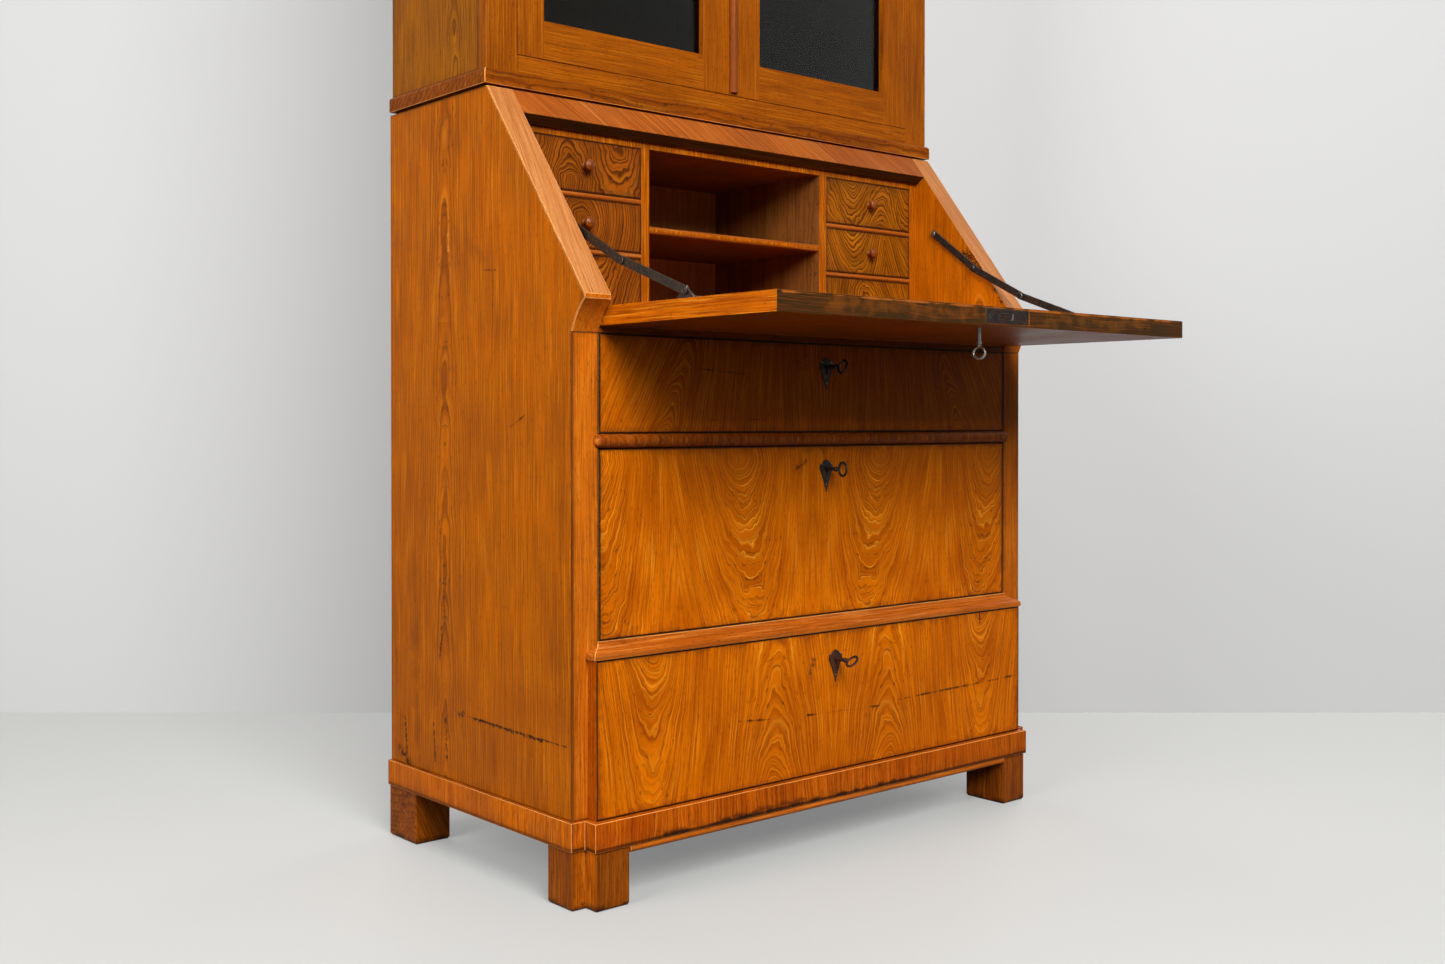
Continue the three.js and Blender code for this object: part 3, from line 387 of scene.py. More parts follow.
elmFigure = makeElmFigure()
standardLook = {
    "axes": "XYZ",            # across, depth and along the board
    "face": 0,                # where the board's face lies along its depth
    "tilt": 0,
    "turn": 0,
    "mirror": None,           # where two sheets of veneer meet, book matched
    "cross": (),              # boxes in which the grain runs across
    "tone": "honey",
    "rough": 0.42,
    "roughSpread": (-0.07, 0.10),
    "coat": 0,
    "bump": 0.22,
    "rim": (),                # (axis, low, high) of the edges that gather dirt and a line of painted shade
    "rimShare": 0.7,
    "marks": (),
}


# Elm under worn shellac: a warm, open-grained brown with a soft sheen from the thin lacquer
def elm(name, **changes):
    look = {**standardLook, **changes}
    material, tree, shader, add = newMaterial(name)
    placed = add("Mapping", add("TexCoord").outputs["Object"], Scale=(1000, 1000, 1000),
                 Rotation=(math.radians(look["tilt"]), 0, 0))
    axisOf = dict(zip("XYZ", add("SeparateXYZ", placed).outputs))
    across, depth, along = (axisOf[axis] for axis in look["axes"])
    if look["mirror"] is not None:
        across = add("Math ABSOLUTE", add("Math SUBTRACT", across, look["mirror"]))
    board = add("CombineXYZ", across, depth, along)
    if look["cross"]:
        inside = insideAny(add, axisOf, look["cross"])
        board = add("Mix VECTOR", inside, board, add("CombineXYZ", along, depth, across))
    board = add("Mapping", board, Location=(0, -look["face"], 0), Rotation=(0, math.radians(look["turn"]), 0))
    figure = add("Group", node_tree=elmFigure)
    numbers = {key: look.get(key, value) for key, value in figureNumbers.items()}
    colours = {key: linear(colour) for key, colour in zip(toneSockets, tones[look["tone"]])}
    setSockets(tree, figure, {"Position": board, **numbers, **colours})
    colour = figure.outputs["Color"]
    if look["rim"]:
        colour = addDirtAndShadeRim(add, placed, axisOf, colour, look["rim"], look["rimShare"])
    for mark in look["marks"]:
        colour = addMark(add, placed, axisOf, colour, *mark)
    smoothest, roughest = (look["rough"] + stray for stray in look["roughSpread"])
    setSockets(tree, shader, {
        "Base Color": colour,
        "Roughness": add("MapRange", figure.outputs["Tone"], 0.25, 0.75, smoothest, roughest),
        "Normal": add("Bump", Height=figure.outputs["Height"], Strength=look["bump"], Distance=0.0006),
        "Specular IOR Level": 0.05,
        "Coat Weight": look["coat"],
        "Coat Roughness": 0.22,
        "IOR": 1.5,
    })
    return material


# Quarter sawn elm has straight, even lines
straightElm = partial(elm, Open=400, Climb=0.6, Spacing=1400, Centre=-500)


# 1 inside any of the boxes, where a rail's grain runs across that of the stiles
def insideAny(add, axisOf, boxes):
    inside = 0
    for limits in boxes:
        share = 1
        for axis, low, high in limits:
            above = add("Math GREATER_THAN", axisOf[axis], low)
            both = add("Math MULTIPLY", above, add("Math LESS_THAN", axisOf[axis], high))
            share = add("Math MULTIPLY", both, share)
        inside = add("Math MAXIMUM", share, inside)
    return inside


# Along the edges of a face: patches of dirt, and a thin dark line of painted shade where a gap or an overhang
# casts its shadow
rimDirtAndShade = {
    "patch": 16,              # mm
    "reach": (2.5, 20),       # mm, least and most, in from the edge
    "share": 0.55,
    "tint": "#4A2208",
    "line": (2.8, 1.4),       # mm from the edge, where the dark line of painted shade sets in and where it is full
    "lineTint": "#160B04",
}


# Old dirt and darkened lacquer gather in patches along the edges of a face, and a thin dark line at the very edge
# is painted shade of the gap or overhang beside it: rim holds (axis, low, high) in mm
def addDirtAndShadeRim(add, placed, axisOf, colour, rim, share):
    nearest = 1000
    for axis, low, high in rim:
        value = axisOf[axis]
        inner = add("Math MINIMUM", add("Math SUBTRACT", value, low), add("Math SUBTRACT", high, value))
        nearest = add("Math MINIMUM", inner, nearest)
    rough = add("TexNoise", placed, 1 / rimDirtAndShade["patch"], 4.0, 0.65)
    reach = add("MapRange", rough, 0.35, 0.7, *rimDirtAndShade["reach"])
    dirty = add("MapRange", nearest, reach, 0, 0, rimDirtAndShade["share"] * share)
    colour = add("Mix RGBA", dirty, colour, linear(rimDirtAndShade["tint"]))
    # the thin dark line at the very edge is painted shade
    black = add("MapRange", nearest, *rimDirtAndShade["line"], 0, share)
    return add("Mix RGBA", black, colour, linear(rimDirtAndShade["lineTint"]))


# A scratch, dent, stain, painted shadow or painted highlight: a stroke from start to end in mm on the plane of two
# axes, broken up by noise
def addMark(add, placed, axisOf, colour, axes, start, end, width, breaks, strength, tint):
    span = Vector(end) - Vector(start)
    ux, uy = span.normalized()
    shiftU, shiftV = (add("Math SUBTRACT", axisOf[axis], low) for axis, low in zip(axes, start))
    along = add("Math MULTIPLY_ADD", shiftV, uy, add("Math MULTIPLY", shiftU, ux))
    across = add("Math MULTIPLY_ADD", shiftV, ux, add("Math MULTIPLY", shiftU, -uy))
    kept = add("Math MINIMUM", add("Math MAXIMUM", along, 0.0), span.length)
    away = add("VectorMath LENGTH", add("CombineXYZ", across, add("Math SUBTRACT", along, kept)))
    reach = add("MapRange", add("TexNoise", placed, breaks, 2.0), 0.32, 0.60, 0, width * 1.25)
    share = add("MapRange", add("Math SUBTRACT", reach, away), 0, max(width, 0.6), 0, strength)
    return add("Mix RGBA", share, colour, linear(tint))


corrosion = {                 # to the metre
    "pits": 260.0,            # about 4 mm each
    "patches": 60.0,          # about 17 mm each
}


# Forged iron gone brown: dull, blackened, with rust in the pits and brighter steel where it is handled
def forgedIron(name, base, rust, worn, rough, wornShare, rustShare=0.85):
    material, tree, shader, add = newMaterial(name)
    place = add("TexCoord").outputs["Object"]
    pits = add("TexNoise", place, corrosion["pits"], 4.0, 0.7)
    rusted = add("MapRange", add("TexNoise", place, corrosion["patches"], 3.0), 0.42, 0.66, 0, rustShare)
    bare = add("MapRange", pits, 0.55, 0.72, 0, wornShare)
    skin = add("Mix RGBA", rusted, linear(base), linear(rust))
    setSockets(tree, shader, {
        "Base Color": add("Mix RGBA", bare, skin, linear(worn)),
        "Roughness": add("MapRange", pits, 0.3, 0.7, rough + 0.14, rough - 0.08),
        "Normal": add("Bump", Height=pits, Strength=0.35, Distance=0.0004),
        "Metallic": 0.8,
    })
    return material


# Old drawn window glass: thin, faintly grey green, with a slow ripple in its reflections
def oldGlass(name):
    material, tree, shader, add = newMaterial(name)
    ripple = add("TexNoise", add("TexCoord").outputs["Object"], 5.0, 0.0)
    setSockets(tree, shader, {
        "Base Color": linear("#C2C8C0"),
        "Roughness": 0.03,
        "Specular Tint": linear("#56544F"),
        "Transmission Weight": 1.0,
        "IOR": 1.5,
        "Normal": add("Bump", Height=ripple, Strength=0.03, Distance=0.001),
    })
    return material


darkIron = forgedIron("blackenedIron", "#1E1916", "#3A2416", "#5E564E", 0.50, 0.45)
rustyIron = forgedIron("rustedIron", "#2A1A12", "#4E2C18", "#6A5A4E", 0.56, 0.35)
stayIron = forgedIron("stayIron", "#2A2520", "#3E3024", "#766C64", 0.42, 0.6)
# Pale iron: wear where handled, and a painted glint on edges, rivets and screw heads
brightIron = forgedIron("rubbedAndGlintingIron", "#6A635C", "#5A4A3C", "#A8A29A", 0.36, 0.7, 0.5)
keySteel = forgedIron("handledSteel", "#8A857E", "#5A4C3E", "#D0CECA", 0.32, 0.7, 0.5)
paneGlass = oldGlass("windowGlass")
print("finishes ready")


sharpAngle = math.radians(38)
onePlane = 0.1                # mm, within which two faces lie in one plane
easing = {
    "segments": 2,
    "angle": math.radians(28),    # edges sharper than this are eased
}


# Pieces start as lists of corners and faces in mm
def slab(low, high):
    corners = [(x, y, z) for x in (low[0], high[0]) for y in (low[1], high[1]) for z in (low[2], high[2])]
    return corners, [(0, 1, 3, 2), (4, 6, 7, 5), (0, 4, 5, 1), (2, 3, 7, 6), (0, 2, 6, 4), (1, 5, 7, 3)]


# A turned form: profile holds (along, radius) from one end to the other, on an axis through place
def turned(profile, place, axis, count):
    lead = "XYZ".index(axis)
    u, v = [i for i in range(3) if i != lead]
    corners, rings = [], []
    for along, radius in profile:
        ring = []
        for step in range(count if radius > 0 else 1):
            angle = 2 * math.pi * step / count
            corner = list(place)
            corner[lead] += along
            corner[u] += radius * math.cos(angle)
            corner[v] += radius * math.sin(angle)
            ring.append(len(corners))
            corners.append(corner)
        rings.append(ring)
    return corners, bandFaces(rings)


def bandFaces(rings, closed=False):
    faces = []
    pairs = list(zip(rings, rings[1:])) + ([(rings[-1], rings[0])] if closed else [])
    for a, b in pairs:
        count = max(len(a), len(b))
        for i in range(count):
            j = (i + 1) % count
            if len(a) == 1:
                faces.append((a[0], b[j], b[i]))
            elif len(b) == 1:
                faces.append((a[i], a[j], b[0]))
            else:
                faces.append((a[i], a[j], b[j], b[i]))
    if not closed:
        faces += [tuple(ring) for ring in (rings[0], rings[-1]) if len(ring) > 1]
    return faces


# Round wire bent along a closed path
def wireLoop(points, radius, count):
    middle = sum(points, Vector()) / len(points)
    corners, rings = [], []
    for i, point in enumerate(points):
        way = (points[(i + 1) % len(points)] - points[i - 1]).normalized()
        out = (point - middle).normalized()
        up = way.cross(out).normalized()
        out = up.cross(way).normalized()
        ring = []
        for step in range(count):
            angle = 2 * math.pi * step / count
            ring.append(len(corners))
            corners.append(point + radius * (out * math.cos(angle) + up * math.sin(angle)))
        rings.append(ring)
    return corners, bandFaces(rings, closed=True)


# Turns a bmesh into a mesh with these materials
def meshFrom(shape, name, materials):
    mesh = bpy.data.meshes.new(name)
    for material in materials:
        mesh.materials.append(material)
    shape.to_mesh(mesh)
    shape.free()
    return mesh


# Several closed forms as one mesh
def meshOf(name, forms, material):
    shape = bmesh.new()
    for corners, faces in forms:
        made = [shape.verts.new([c * mm for c in corner]) for corner in corners]
        for face in faces:
            shape.faces.new([made[i] for i in face]).smooth = True
    bmesh.ops.recalc_face_normals(shape, faces=shape.faces)
    mesh = meshFrom(shape, name, [material])
    mesh.set_sharp_from_angle(angle=sharpAngle)
    return mesh


def newPiece(mesh, body):
    piece = newObject(mesh.name, mesh)
    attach(piece, body)
    return piece


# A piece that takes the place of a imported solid
def standIn(node, mesh):
    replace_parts(newPiece(mesh, bodyOf[node]), node)


# The mesh that an object's modifiers make; the object goes
def evaluated(holder, name):
    made = bpy.data.meshes.new_from_object(holder.evaluated_get(bpy.context.evaluated_depsgraph_get()))
    bpy.data.meshes.remove(holder.data)
    made.name = name
    return made


# Bevels a rough mesh, cuts pockets in it and returns the plain result
def finishMesh(mesh, ease, edgeSlot=-1, pockets=()):
    name = mesh.name
    holder = newObject(f"{name}Rough", mesh)
    cutters = []
    for low, high in pockets:
        cutters.append(newObject("pocket", meshOf("pocket", [slab(low, high)], mesh.materials[-1])))
        cut = holder.modifiers.new("pocket", "BOOLEAN")
        cut.operation = "DIFFERENCE"
        cut.solver = "EXACT"
        cut.object = cutters[-1]
    if ease:
        bevel = holder.modifiers.new("ease", "BEVEL")
        bevel.width = ease * mm
        bevel.segments = easing["segments"]
        bevel.limit_method = "ANGLE"
        bevel.angle_limit = easing["angle"]
        bevel.use_clamp_overlap = True
        bevel.material = edgeSlot
    weighted = holder.modifiers.new("shade", "WEIGHTED_NORMAL")
    weighted.keep_sharp = True
    mesh.set_sharp_from_angle(angle=sharpAngle)
    finished = evaluated(holder, name)
    for cutter in cutters:
        bpy.data.meshes.remove(cutter.data)
    return finished


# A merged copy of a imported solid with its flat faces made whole, and a material chosen for each face
def copyOf(node, name, materials, chooser=None, dropped=None):
    shape = bmesh.new()
    shape.from_mesh(frame["nodes"][node].data)
    bmesh.ops.remove_doubles(shape, verts=shape.verts, dist=2e-6)
    if dropped:
        gone = [v for v in shape.verts if dropped(v.co / mm)]
        bmesh.ops.delete(shape, geom=gone, context="VERTS")
    flat = math.radians(0.6)
    bmesh.ops.dissolve_limit(
        shape, angle_limit=flat, use_dissolve_boundaries=False, verts=shape.verts, edges=shape.edges,
    )
    shape.normal_update()
    for face in shape.faces:
        face.smooth = True
        face.material_index = chooser(face.calc_center_median() / mm, face.normal) if chooser else 0
    return meshFrom(shape, name, materials)


def camelName(node):
    first, *rest = node.split("_")
    return first + "".join(word.title() for word in rest)


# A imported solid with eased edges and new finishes, named for its node where no name is given
def easedPiece(node, ease, materials, chooser=None, name=None, edgeSlot=-1):
    mesh = copyOf(node, name or camelName(node), materials, chooser)
    standIn(node, finishMesh(mesh, ease, edgeSlot))


def boxOf(node):
    low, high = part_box(node)
    return low / mm, high / mm


def middleOf(node):
    low, high = boxOf(node)
    return (low + high) / 2


def jointPlace(name):
    joint = next(joint for joint in frame["joints"] if joint["name"] == name)
    return Vector(joint["pos_m"]) / mm


# A box's limits along these axes, as rims take them
def spans(low, high, axes):
    return tuple((axis, low["XYZ".index(axis)], high["XYZ".index(axis)]) for axis in axes)


# A node tree with named inputs; the geometry that comes in is the object's own mesh
def geometryTree(name, sockets):
    tree = bpy.data.node_groups.new(name, "GeometryNodeTree")
    tree.interface.new_socket("Geometry", in_out="INPUT", socket_type="NodeSocketGeometry")
    for socket, value in sockets.items():
        kind = {float: "Float", int: "Int", tuple: "Vector"}.get(type(value), "Material")
        made = tree.interface.new_socket(socket, in_out="INPUT", socket_type=f"NodeSocket{kind}")
        if value is not None:
            made.default_value = value
    tree.interface.new_socket("Geometry", in_out="OUTPUT", socket_type="NodeSocketGeometry")
    given, result = tree.nodes.new("NodeGroupInput").outputs, tree.nodes.new("NodeGroupOutput").inputs
    return tree, given, result, partial(addNode, tree)


# Ends a tree: instances made real, one material
def endTree(tree, instances, material, result, smooth=False):
    real = addNode(tree, "GeometryNodeRealizeInstances", instances)
    if smooth:
        real = addNode(tree, "GeometryNodeSetShadeSmooth", real, True, True)
    feed(tree, result[0], addNode(tree, "GeometryNodeSetMaterial", real, Material=material))


# Runs a tree on points given in mm and returns the plain mesh that it makes
def grownMesh(name, tree, points, values):
    seed = bpy.data.meshes.new(f"{name}Seed")
    seed.from_pydata([Vector(p) * mm for p in points], [], [])
    holder = newObject(f"{name}Seed", seed)
    modifier = holder.modifiers.new("grow", "NODES")
    modifier.node_group = tree
    for item in tree.interface.items_tree:
        if item.in_out == "INPUT" and item.name in values:
            modifier[item.identifier] = values[item.name]
    return evaluated(holder, name)


# Domed heads of pins, nails and rivets, one on each point
def makePinTree():
    tree, given, result, add = geometryTree("pinHeads", {
        "Radius": 0.001, "Height": 0.0005, "Facing": (0.0, 0.0, 0.0), "Material": None,
    })
    ball = add("GeometryNodeMeshUVSphere", Segments=14, Rings=8, Radius=1.0)
    size = add("CombineXYZ", given["Radius"], given["Radius"], given["Height"])
    heads = add("GeometryNodeInstanceOnPoints", given["Geometry"], Instance=ball, Rotation=given["Facing"],
                Scale=size)
    endTree(tree, heads, given["Material"], result, smooth=True)
    return tree


# Countersunk screws, each turned its own way
def makeScrewTree():
    tree, given, result, add = geometryTree("slottedScrews", {
        "Radius": 0.002, "Depth": 0.001, "Slot": 0.0005, "Facing": (0.0, 0.0, 0.0), "Seed": 3,
        "Material": None,
    })
    head = add("GeometryNodeMeshCylinder", Vertices=20, Radius=given["Radius"], Depth=given["Depth"])
    length = add("Math MULTIPLY", given["Radius"], 3.0)
    bar = add("GeometryNodeMeshCube", add("CombineXYZ", length, given["Slot"], given["Depth"]))
    lift = add("CombineXYZ", 0, 0, add("Math MULTIPLY", given["Depth"], 0.5))
    slotted = add("GeometryNodeMeshBoolean", head, add("GeometryNodeTransform", bar, lift))
    heads = add("GeometryNodeInstanceOnPoints", given["Geometry"], Instance=slotted, Rotation=given["Facing"])
    spin = add("CombineXYZ", 0, 0, add("FunctionNodeRandomValue", 0.0, math.pi, Seed=given["Seed"]))
    screws = add("GeometryNodeRotateInstances", heads, True, spin, Local_Space=True)
    endTree(tree, screws, given["Material"], result)
    return tree


# Upright boards side by side, from the left point on
def makePlankTree():
    tree, given, result, add = geometryTree("planks", {
        "Count": 5, "Width": 0.18, "Thickness": 0.012, "Height": 1.0, "Gap": 0.001, "Material": None,
    })
    board = add("Math SUBTRACT", given["Width"], given["Gap"])
    plank = add("GeometryNodeMeshCube", add("CombineXYZ", board, given["Thickness"], given["Height"]))
    row = add("GeometryNodeMeshLine", given["Count"], Offset=add("CombineXYZ", given["Width"]))
    first = add("GeometryNodeSampleIndex", given["Geometry"], data_type="FLOAT_VECTOR")
    feed(tree, first.inputs["Value"], add("GeometryNodeInputPosition"))
    moved = add("GeometryNodeSetPosition", row, Offset=first)
    endTree(tree, add("GeometryNodeInstanceOnPoints", moved, Instance=plank), given["Material"], result)
    return tree


pinTree, screwTree, plankTree = makePinTree(), makeScrewTree(), makePlankTree()
quarterTurn = math.pi / 2
facings = {
    "front": (quarterTurn, 0, 0), "back": (-quarterTurn, 0, 0), "left": (0, -quarterTurn, 0),
    "right": (0, quarterTurn, 0), "up": (0, 0, 0),
}
screw = {
    "depth": 1.6,
    "slotShare": 0.24,        # of the head's radius
}


def addPins(name, points, radius, height, facing, material, body):
    newPiece(grownMesh(name, pinTree, points, {
        "Radius": radius * mm, "Height": height * mm, "Facing": facings[facing], "Material": material,
    }), body)


def addScrews(name, points, radius, facing, material, body, seed=3):
    newPiece(grownMesh(name, screwTree, points, {
        "Radius": radius * mm, "Depth": screw["depth"] * mm, "Slot": radius * screw["slotShare"] * mm,
        "Facing": facings[facing], "Seed": seed, "Material": material,
    }), body)


print("node trees ready")


# The carcass: sides, stiles, cheeks with their sloping strips, boards and mouldings
carcass = {
    "halfWidth": 475,
    "halfOpening": 432,
    "floorOfCase": 119,
    "stileTop": 773,
    "noseTop": 824,
    "deskHeight": 808,
    "slopeAngle": 37.4,       # of the strips, from upright
    "stripInner": 450.5,      # half the width between the sloping strips
    "ease": 1.0,
    "cheekEase": 1.3,
    "boardEase": 0.5,
    "railEase": 0.9,
    "stepEase": 0.8,
}
frontY = boxOf("left_stile")[0].y
cheekNose = straightElm("cheekNoseElm", tone="stile", Centre=-800, Ring=3, Line=0.4)
# The cheeks' eased edges are pale: wear and a painted highlight
cheekWearAndSheen = straightElm("cheekWornEdge", tone="worn", rough=0.34)
sideScars = (
    ("YZ", (-62, 217), (212, 221), 1.8, 0.12, 0.9, "#20100A"),
    ("YZ", (0, 216), (174, 220), 3.4, 0.16, 0.95, "#1A0C06"),
    ("YZ", (205, 224), (217, 220), 6, 0.2, 0.9, "#1A0C06"),
    ("YZ", (114, 868), (146, 871), 1.8, 0.2, 0.85, "#3A1C08"),
    ("YZ", (150, 892), (196, 920), 15, 0.05, 0.3, "#5A2A08"),
    ("YZ", (246, 908), (246, 932), 3.4, 0.08, 0.5, "#D89A48"),
    ("YZ", (78, 645), (38, 663), 1.8, 0.05, 0.85, "#32180A"),
    ("YZ", (272, 500), (262, 440), 11, 0.1, 0.45, "#52240A"),
    ("YZ", (262, 410), (257, 350), 2.6, 0.12, 0.9, "#2A1206"),
    ("YZ", (266, 345), (272, 290), 3.4, 0.14, 0.9, "#241006"),
    ("YZ", (256, 210), (252, 148), 4.2, 0.15, 0.9, "#22100A"),
    ("YZ", (290, 196), (286, 140), 3.2, 0.15, 0.8, "#2A1206"),
    ("YZ", (377, 190), (372, 132), 5, 0.2, 0.9, "#1E0E06"),
    ("YZ", (394, 140), (366, 124), 9, 0.15, 0.95, "#160A04"),
    ("YZ", (345, 330), (342, 140), 16, 0.04, 0.35, "#5A2606"),
    ("YZ", (404, 300), (404, 130), 9, 0.05, 0.35, "#5A2606"),
)
cheekBurr = (
    ("YZ", (14, 950), (-8, 940), 14, 0.36, 0.95, "#220C04"),
    ("YZ", (-6, 938), (-30, 918), 11, 0.36, 0.95, "#220C04"),
    ("YZ", (-50, 884), (-58, 878), 4, 0.3, 0.95, "#220C04"),
    ("YZ", (-62, 866), (-70, 858), 4, 0.3, 0.95, "#220C04"),
)


def makeSide(side, hand):
    low, high = boxOf(f"{side}_side")
    panel = elm(
        f"{side}SideElm", axes="YXZ", tone="side", face=carcass["halfWidth"] * hand, Open=70, Climb=2.2,
        Centre=256 if hand < 0 else 30, Level=carcass["floorOfCase"], Ring=4.6, Drift=16, Wiggle=1.5,
        Line=0.35, Band=0.75, Fibre=0.7, rim=spans(low, high, "YZ"), rimShare=0.45,
        marks=sideScars if hand < 0 else (),
    )
    easedPiece(f"{side}_side", carcass["ease"], [panel], name=f"{side}SidePanel")


def makeStile(side, hand):
    inner, outer = sorted((carcass["halfOpening"] * hand, carcass["halfWidth"] * hand))
    stile = straightElm(
        f"{side}StileElm", tone="stile", face=frontY, Centre=carcass["halfOpening"] * hand - 700, Ring=3.4,
        Line=0.55, Band=0.5, Fibre=0.7, rimShare=0.6,
        rim=(("X", inner, outer), ("Z", carcass["floorOfCase"], carcass["stileTop"])),
    )
    easedPiece(f"{side}_stile", carcass["ease"], [stile])


def makeCheek(side, hand):
    opening = carcass["halfOpening"] * hand
    # The sloping strips' pale, whitish tone is paler wood with a painted sheen
    slope = straightElm(
        f"{side}SlopeElm", tone="slope", tilt=carcass["slopeAngle"], turn=6 * hand, Centre=opening - 300,
        Ring=3.2, Drift=30, Line=0.6, Band=0.6, Fibre=0.65, rough=0.36,
    )
    lining = elm(
        f"{side}LiningElm", axes="YXZ", tone="side", face=opening, Centre=-20, Level=carcass["floorOfCase"],
        Open=400, Climb=2.5, Ring=5, Line=0.3, Band=0.5, Wiggle=1.5, marks=cheekBurr if hand > 0 else (),
    )

    # the sloping strip, the board behind it, or the nose and hollow below the slope
    def pick(centre, normal):
        if abs(centre.x) < carcass["stripInner"] or normal.x * hand < -0.7:
            return 1 if abs(normal.x) > 0.7 or normal.y > 0.3 else 0
        return 2 if centre.z < carcass["noseTop"] else 0

    easedPiece(f"{side}_cheek", carcass["cheekEase"], [slope, lining, cheekNose, cheekWearAndSheen], pick, edgeSlot=3)


def makeBoards():
    dustPine = straightElm("dustBoardPine", tone="pine", axes="YZX", Ring=6, Line=0.3, rough=0.65)
    for node in ("bottom_board", "lower_dust_board", "upper_dust_board", "top_board"):
        easedPiece(node, carcass["boardEase"], [dustPine])
    deskTop = elm("deskTopElm", axes="YZX", face=carcass["deskHeight"], Centre=90, Spacing=160, Open=500,
                  Climb=1, Ring=4.8, Line=0.8)
    deskEdge = straightElm("deskEdgeElm", tone="shaded", axes="ZYX", Ring=4, Fibre=0.7)
    easedPiece("desk_board", carcass["boardEase"], [deskTop, deskEdge],
               lambda centre, normal: int(normal.y < -0.5))


def makeMouldings():
    rail = elm(
        "slopeRailElm", tone="rail", tilt=carcass["slopeAngle"], turn=34, Centre=0, Spacing=160, Open=2500,
        Climb=7, Ring=6.5, Drift=40, Line=1.1, Band=1.0, Fibre=0.7, rough=0.36,
    )
    # The rail's underside is dark brown: painted shade beneath the rail
    railUnder = straightElm("slopeRailUnderElm", tone="edge", axes="YZX", Ring=5, Line=0.3)
    easedPiece("slope_rail", carcass["railEase"], [rail, railUnder],
               lambda centre, normal: int(normal.z < -0.2))
    bead = elm(
        "halfRoundElm", tone="bead", Centre=-600, Spacing=1400, Open=400, Climb=30, Ring=6, Drift=70,
        Wiggle=30, Line=0.9, Band=0.8, Fibre=0.6, rough=0.36,
    )
    easedPiece("half_round_bead", 0, [bead])
    step = straightElm("stepMouldingElm", tone="moulding", axes="ZYX", Ring=3.2, Line=0.7, Band=0.55,
                       Fibre=0.7, Speck=0.9, rough=0.36)
    # The moulding's eased edges are pale: wear and a painted highlight
    worn = straightElm("stepMouldingEdgeWearAndSheen", tone="worn", axes="ZYX", rough=0.34)
    easedPiece("step_moulding", carcass["stepEase"], [step, worn], edgeSlot=1)


planks = {
    "count": 5,
    "gap": 0.1,
    "ease": 1.3,
    "thickness": 11.2,
    "room": 0.8,              # behind the planks, for the nail heads
    "nailShares": (0.14, 0.86),    # of a plank's width
    "nailInsets": (12, 9),    # from the lower and the upper end
    "nailRadius": 3.2,
    "nailHeight": 0.5,
}
# The back boards' inner faces are near-black: painted shade of the closed case
innerShadePine = straightElm("innerShadePine", tone="cavity", Ring=6, rough=0.7)


# Upright pine boards nailed to the back
def makePlanks(node, name):
    low, high = boxOf(node)
    thickness = min(planks["thickness"], high.y - low.y - planks["room"])
    width = (high.x - low.x) / planks["count"]
    pine = elm(
        f"{name}Pine", tone="pine", face=high.y, Centre=low.x + width / 2, Spacing=width / 2, Level=low.z,
        Open=80, Climb=0.5, Ring=5.5, Drift=30, Line=0.4, Band=0.8, Fibre=0.6, rough=0.66,
    )
    middle = low.y + thickness / 2
    mesh = finishMesh(grownMesh(name, plankTree, [(low.x + width / 2, middle, (low.z + high.z) / 2)], {
        "Count": planks["count"], "Width": width * mm, "Thickness": thickness * mm,
        "Height": (high.z - low.z) * mm, "Gap": planks["gap"] * mm, "Material": pine,
    }), planks["ease"])
    mesh.materials.clear()
    mesh.materials.append(pine)
    mesh.materials.append(innerShadePine)
    for face in mesh.polygons:
        face.material_index = int(face.center.y / mm < middle - 1)
    standIn(node, mesh)
    under, over = planks["nailInsets"]
    nails = [(low.x + width * (i + share), low.y + thickness, z)
             for i in range(planks["count"]) for share in planks["nailShares"]
             for z in (low.z + under, (low.z + high.z) / 2, high.z - over)]
    addPins(f"{name}Nails", nails, planks["nailRadius"], planks["nailHeight"], "back", darkIron, "root")


for side, hand in sides:
    makeSide(side, hand)
    makeStile(side, hand)
    makeCheek(side, hand)
makeBoards()
makeMouldings()
makePlanks("lower_back", "deskBack")
print("carcass ready")


plinth = {
    "beadTop": 80.4,
    "beadHalf": 400,          # half the bead's length, and how far it reaches back
    "beadDepth": 12,
    "returnDepth": 40,        # of the front's veneer round the corners
    "sideFrom": 460,          # from the middle, where the sides' veneer begins
    "moulded": (83, 134),     # height of the veneered band; its upper edge is rubbed clean, so no dirt or painted shade line there
    "ease": 1.2,
    "stains": (
        ("XZ", (-470, 92), (-380, 104), 26, 0.02, 0.35, "#8A2A04"),
        ("XZ", (-340, 84), (190, 84), 5.5, 0.05, 0.9, "#1E0E04"),
        ("XZ", (-240, 88), (-60, 90), 5, 0.06, 0.6, "#3A1404"),
    ),
}
feet = {
    "ease": 1.6,
    "clean": 20,              # takes the dirt and the painted shade line off the upper and lower edge
    "backTurn": 24,
    # a dark band along the bottom edge of each foot
    "soleDarkening": (9, 0.05, 0.6, "#1A0C04"),
}


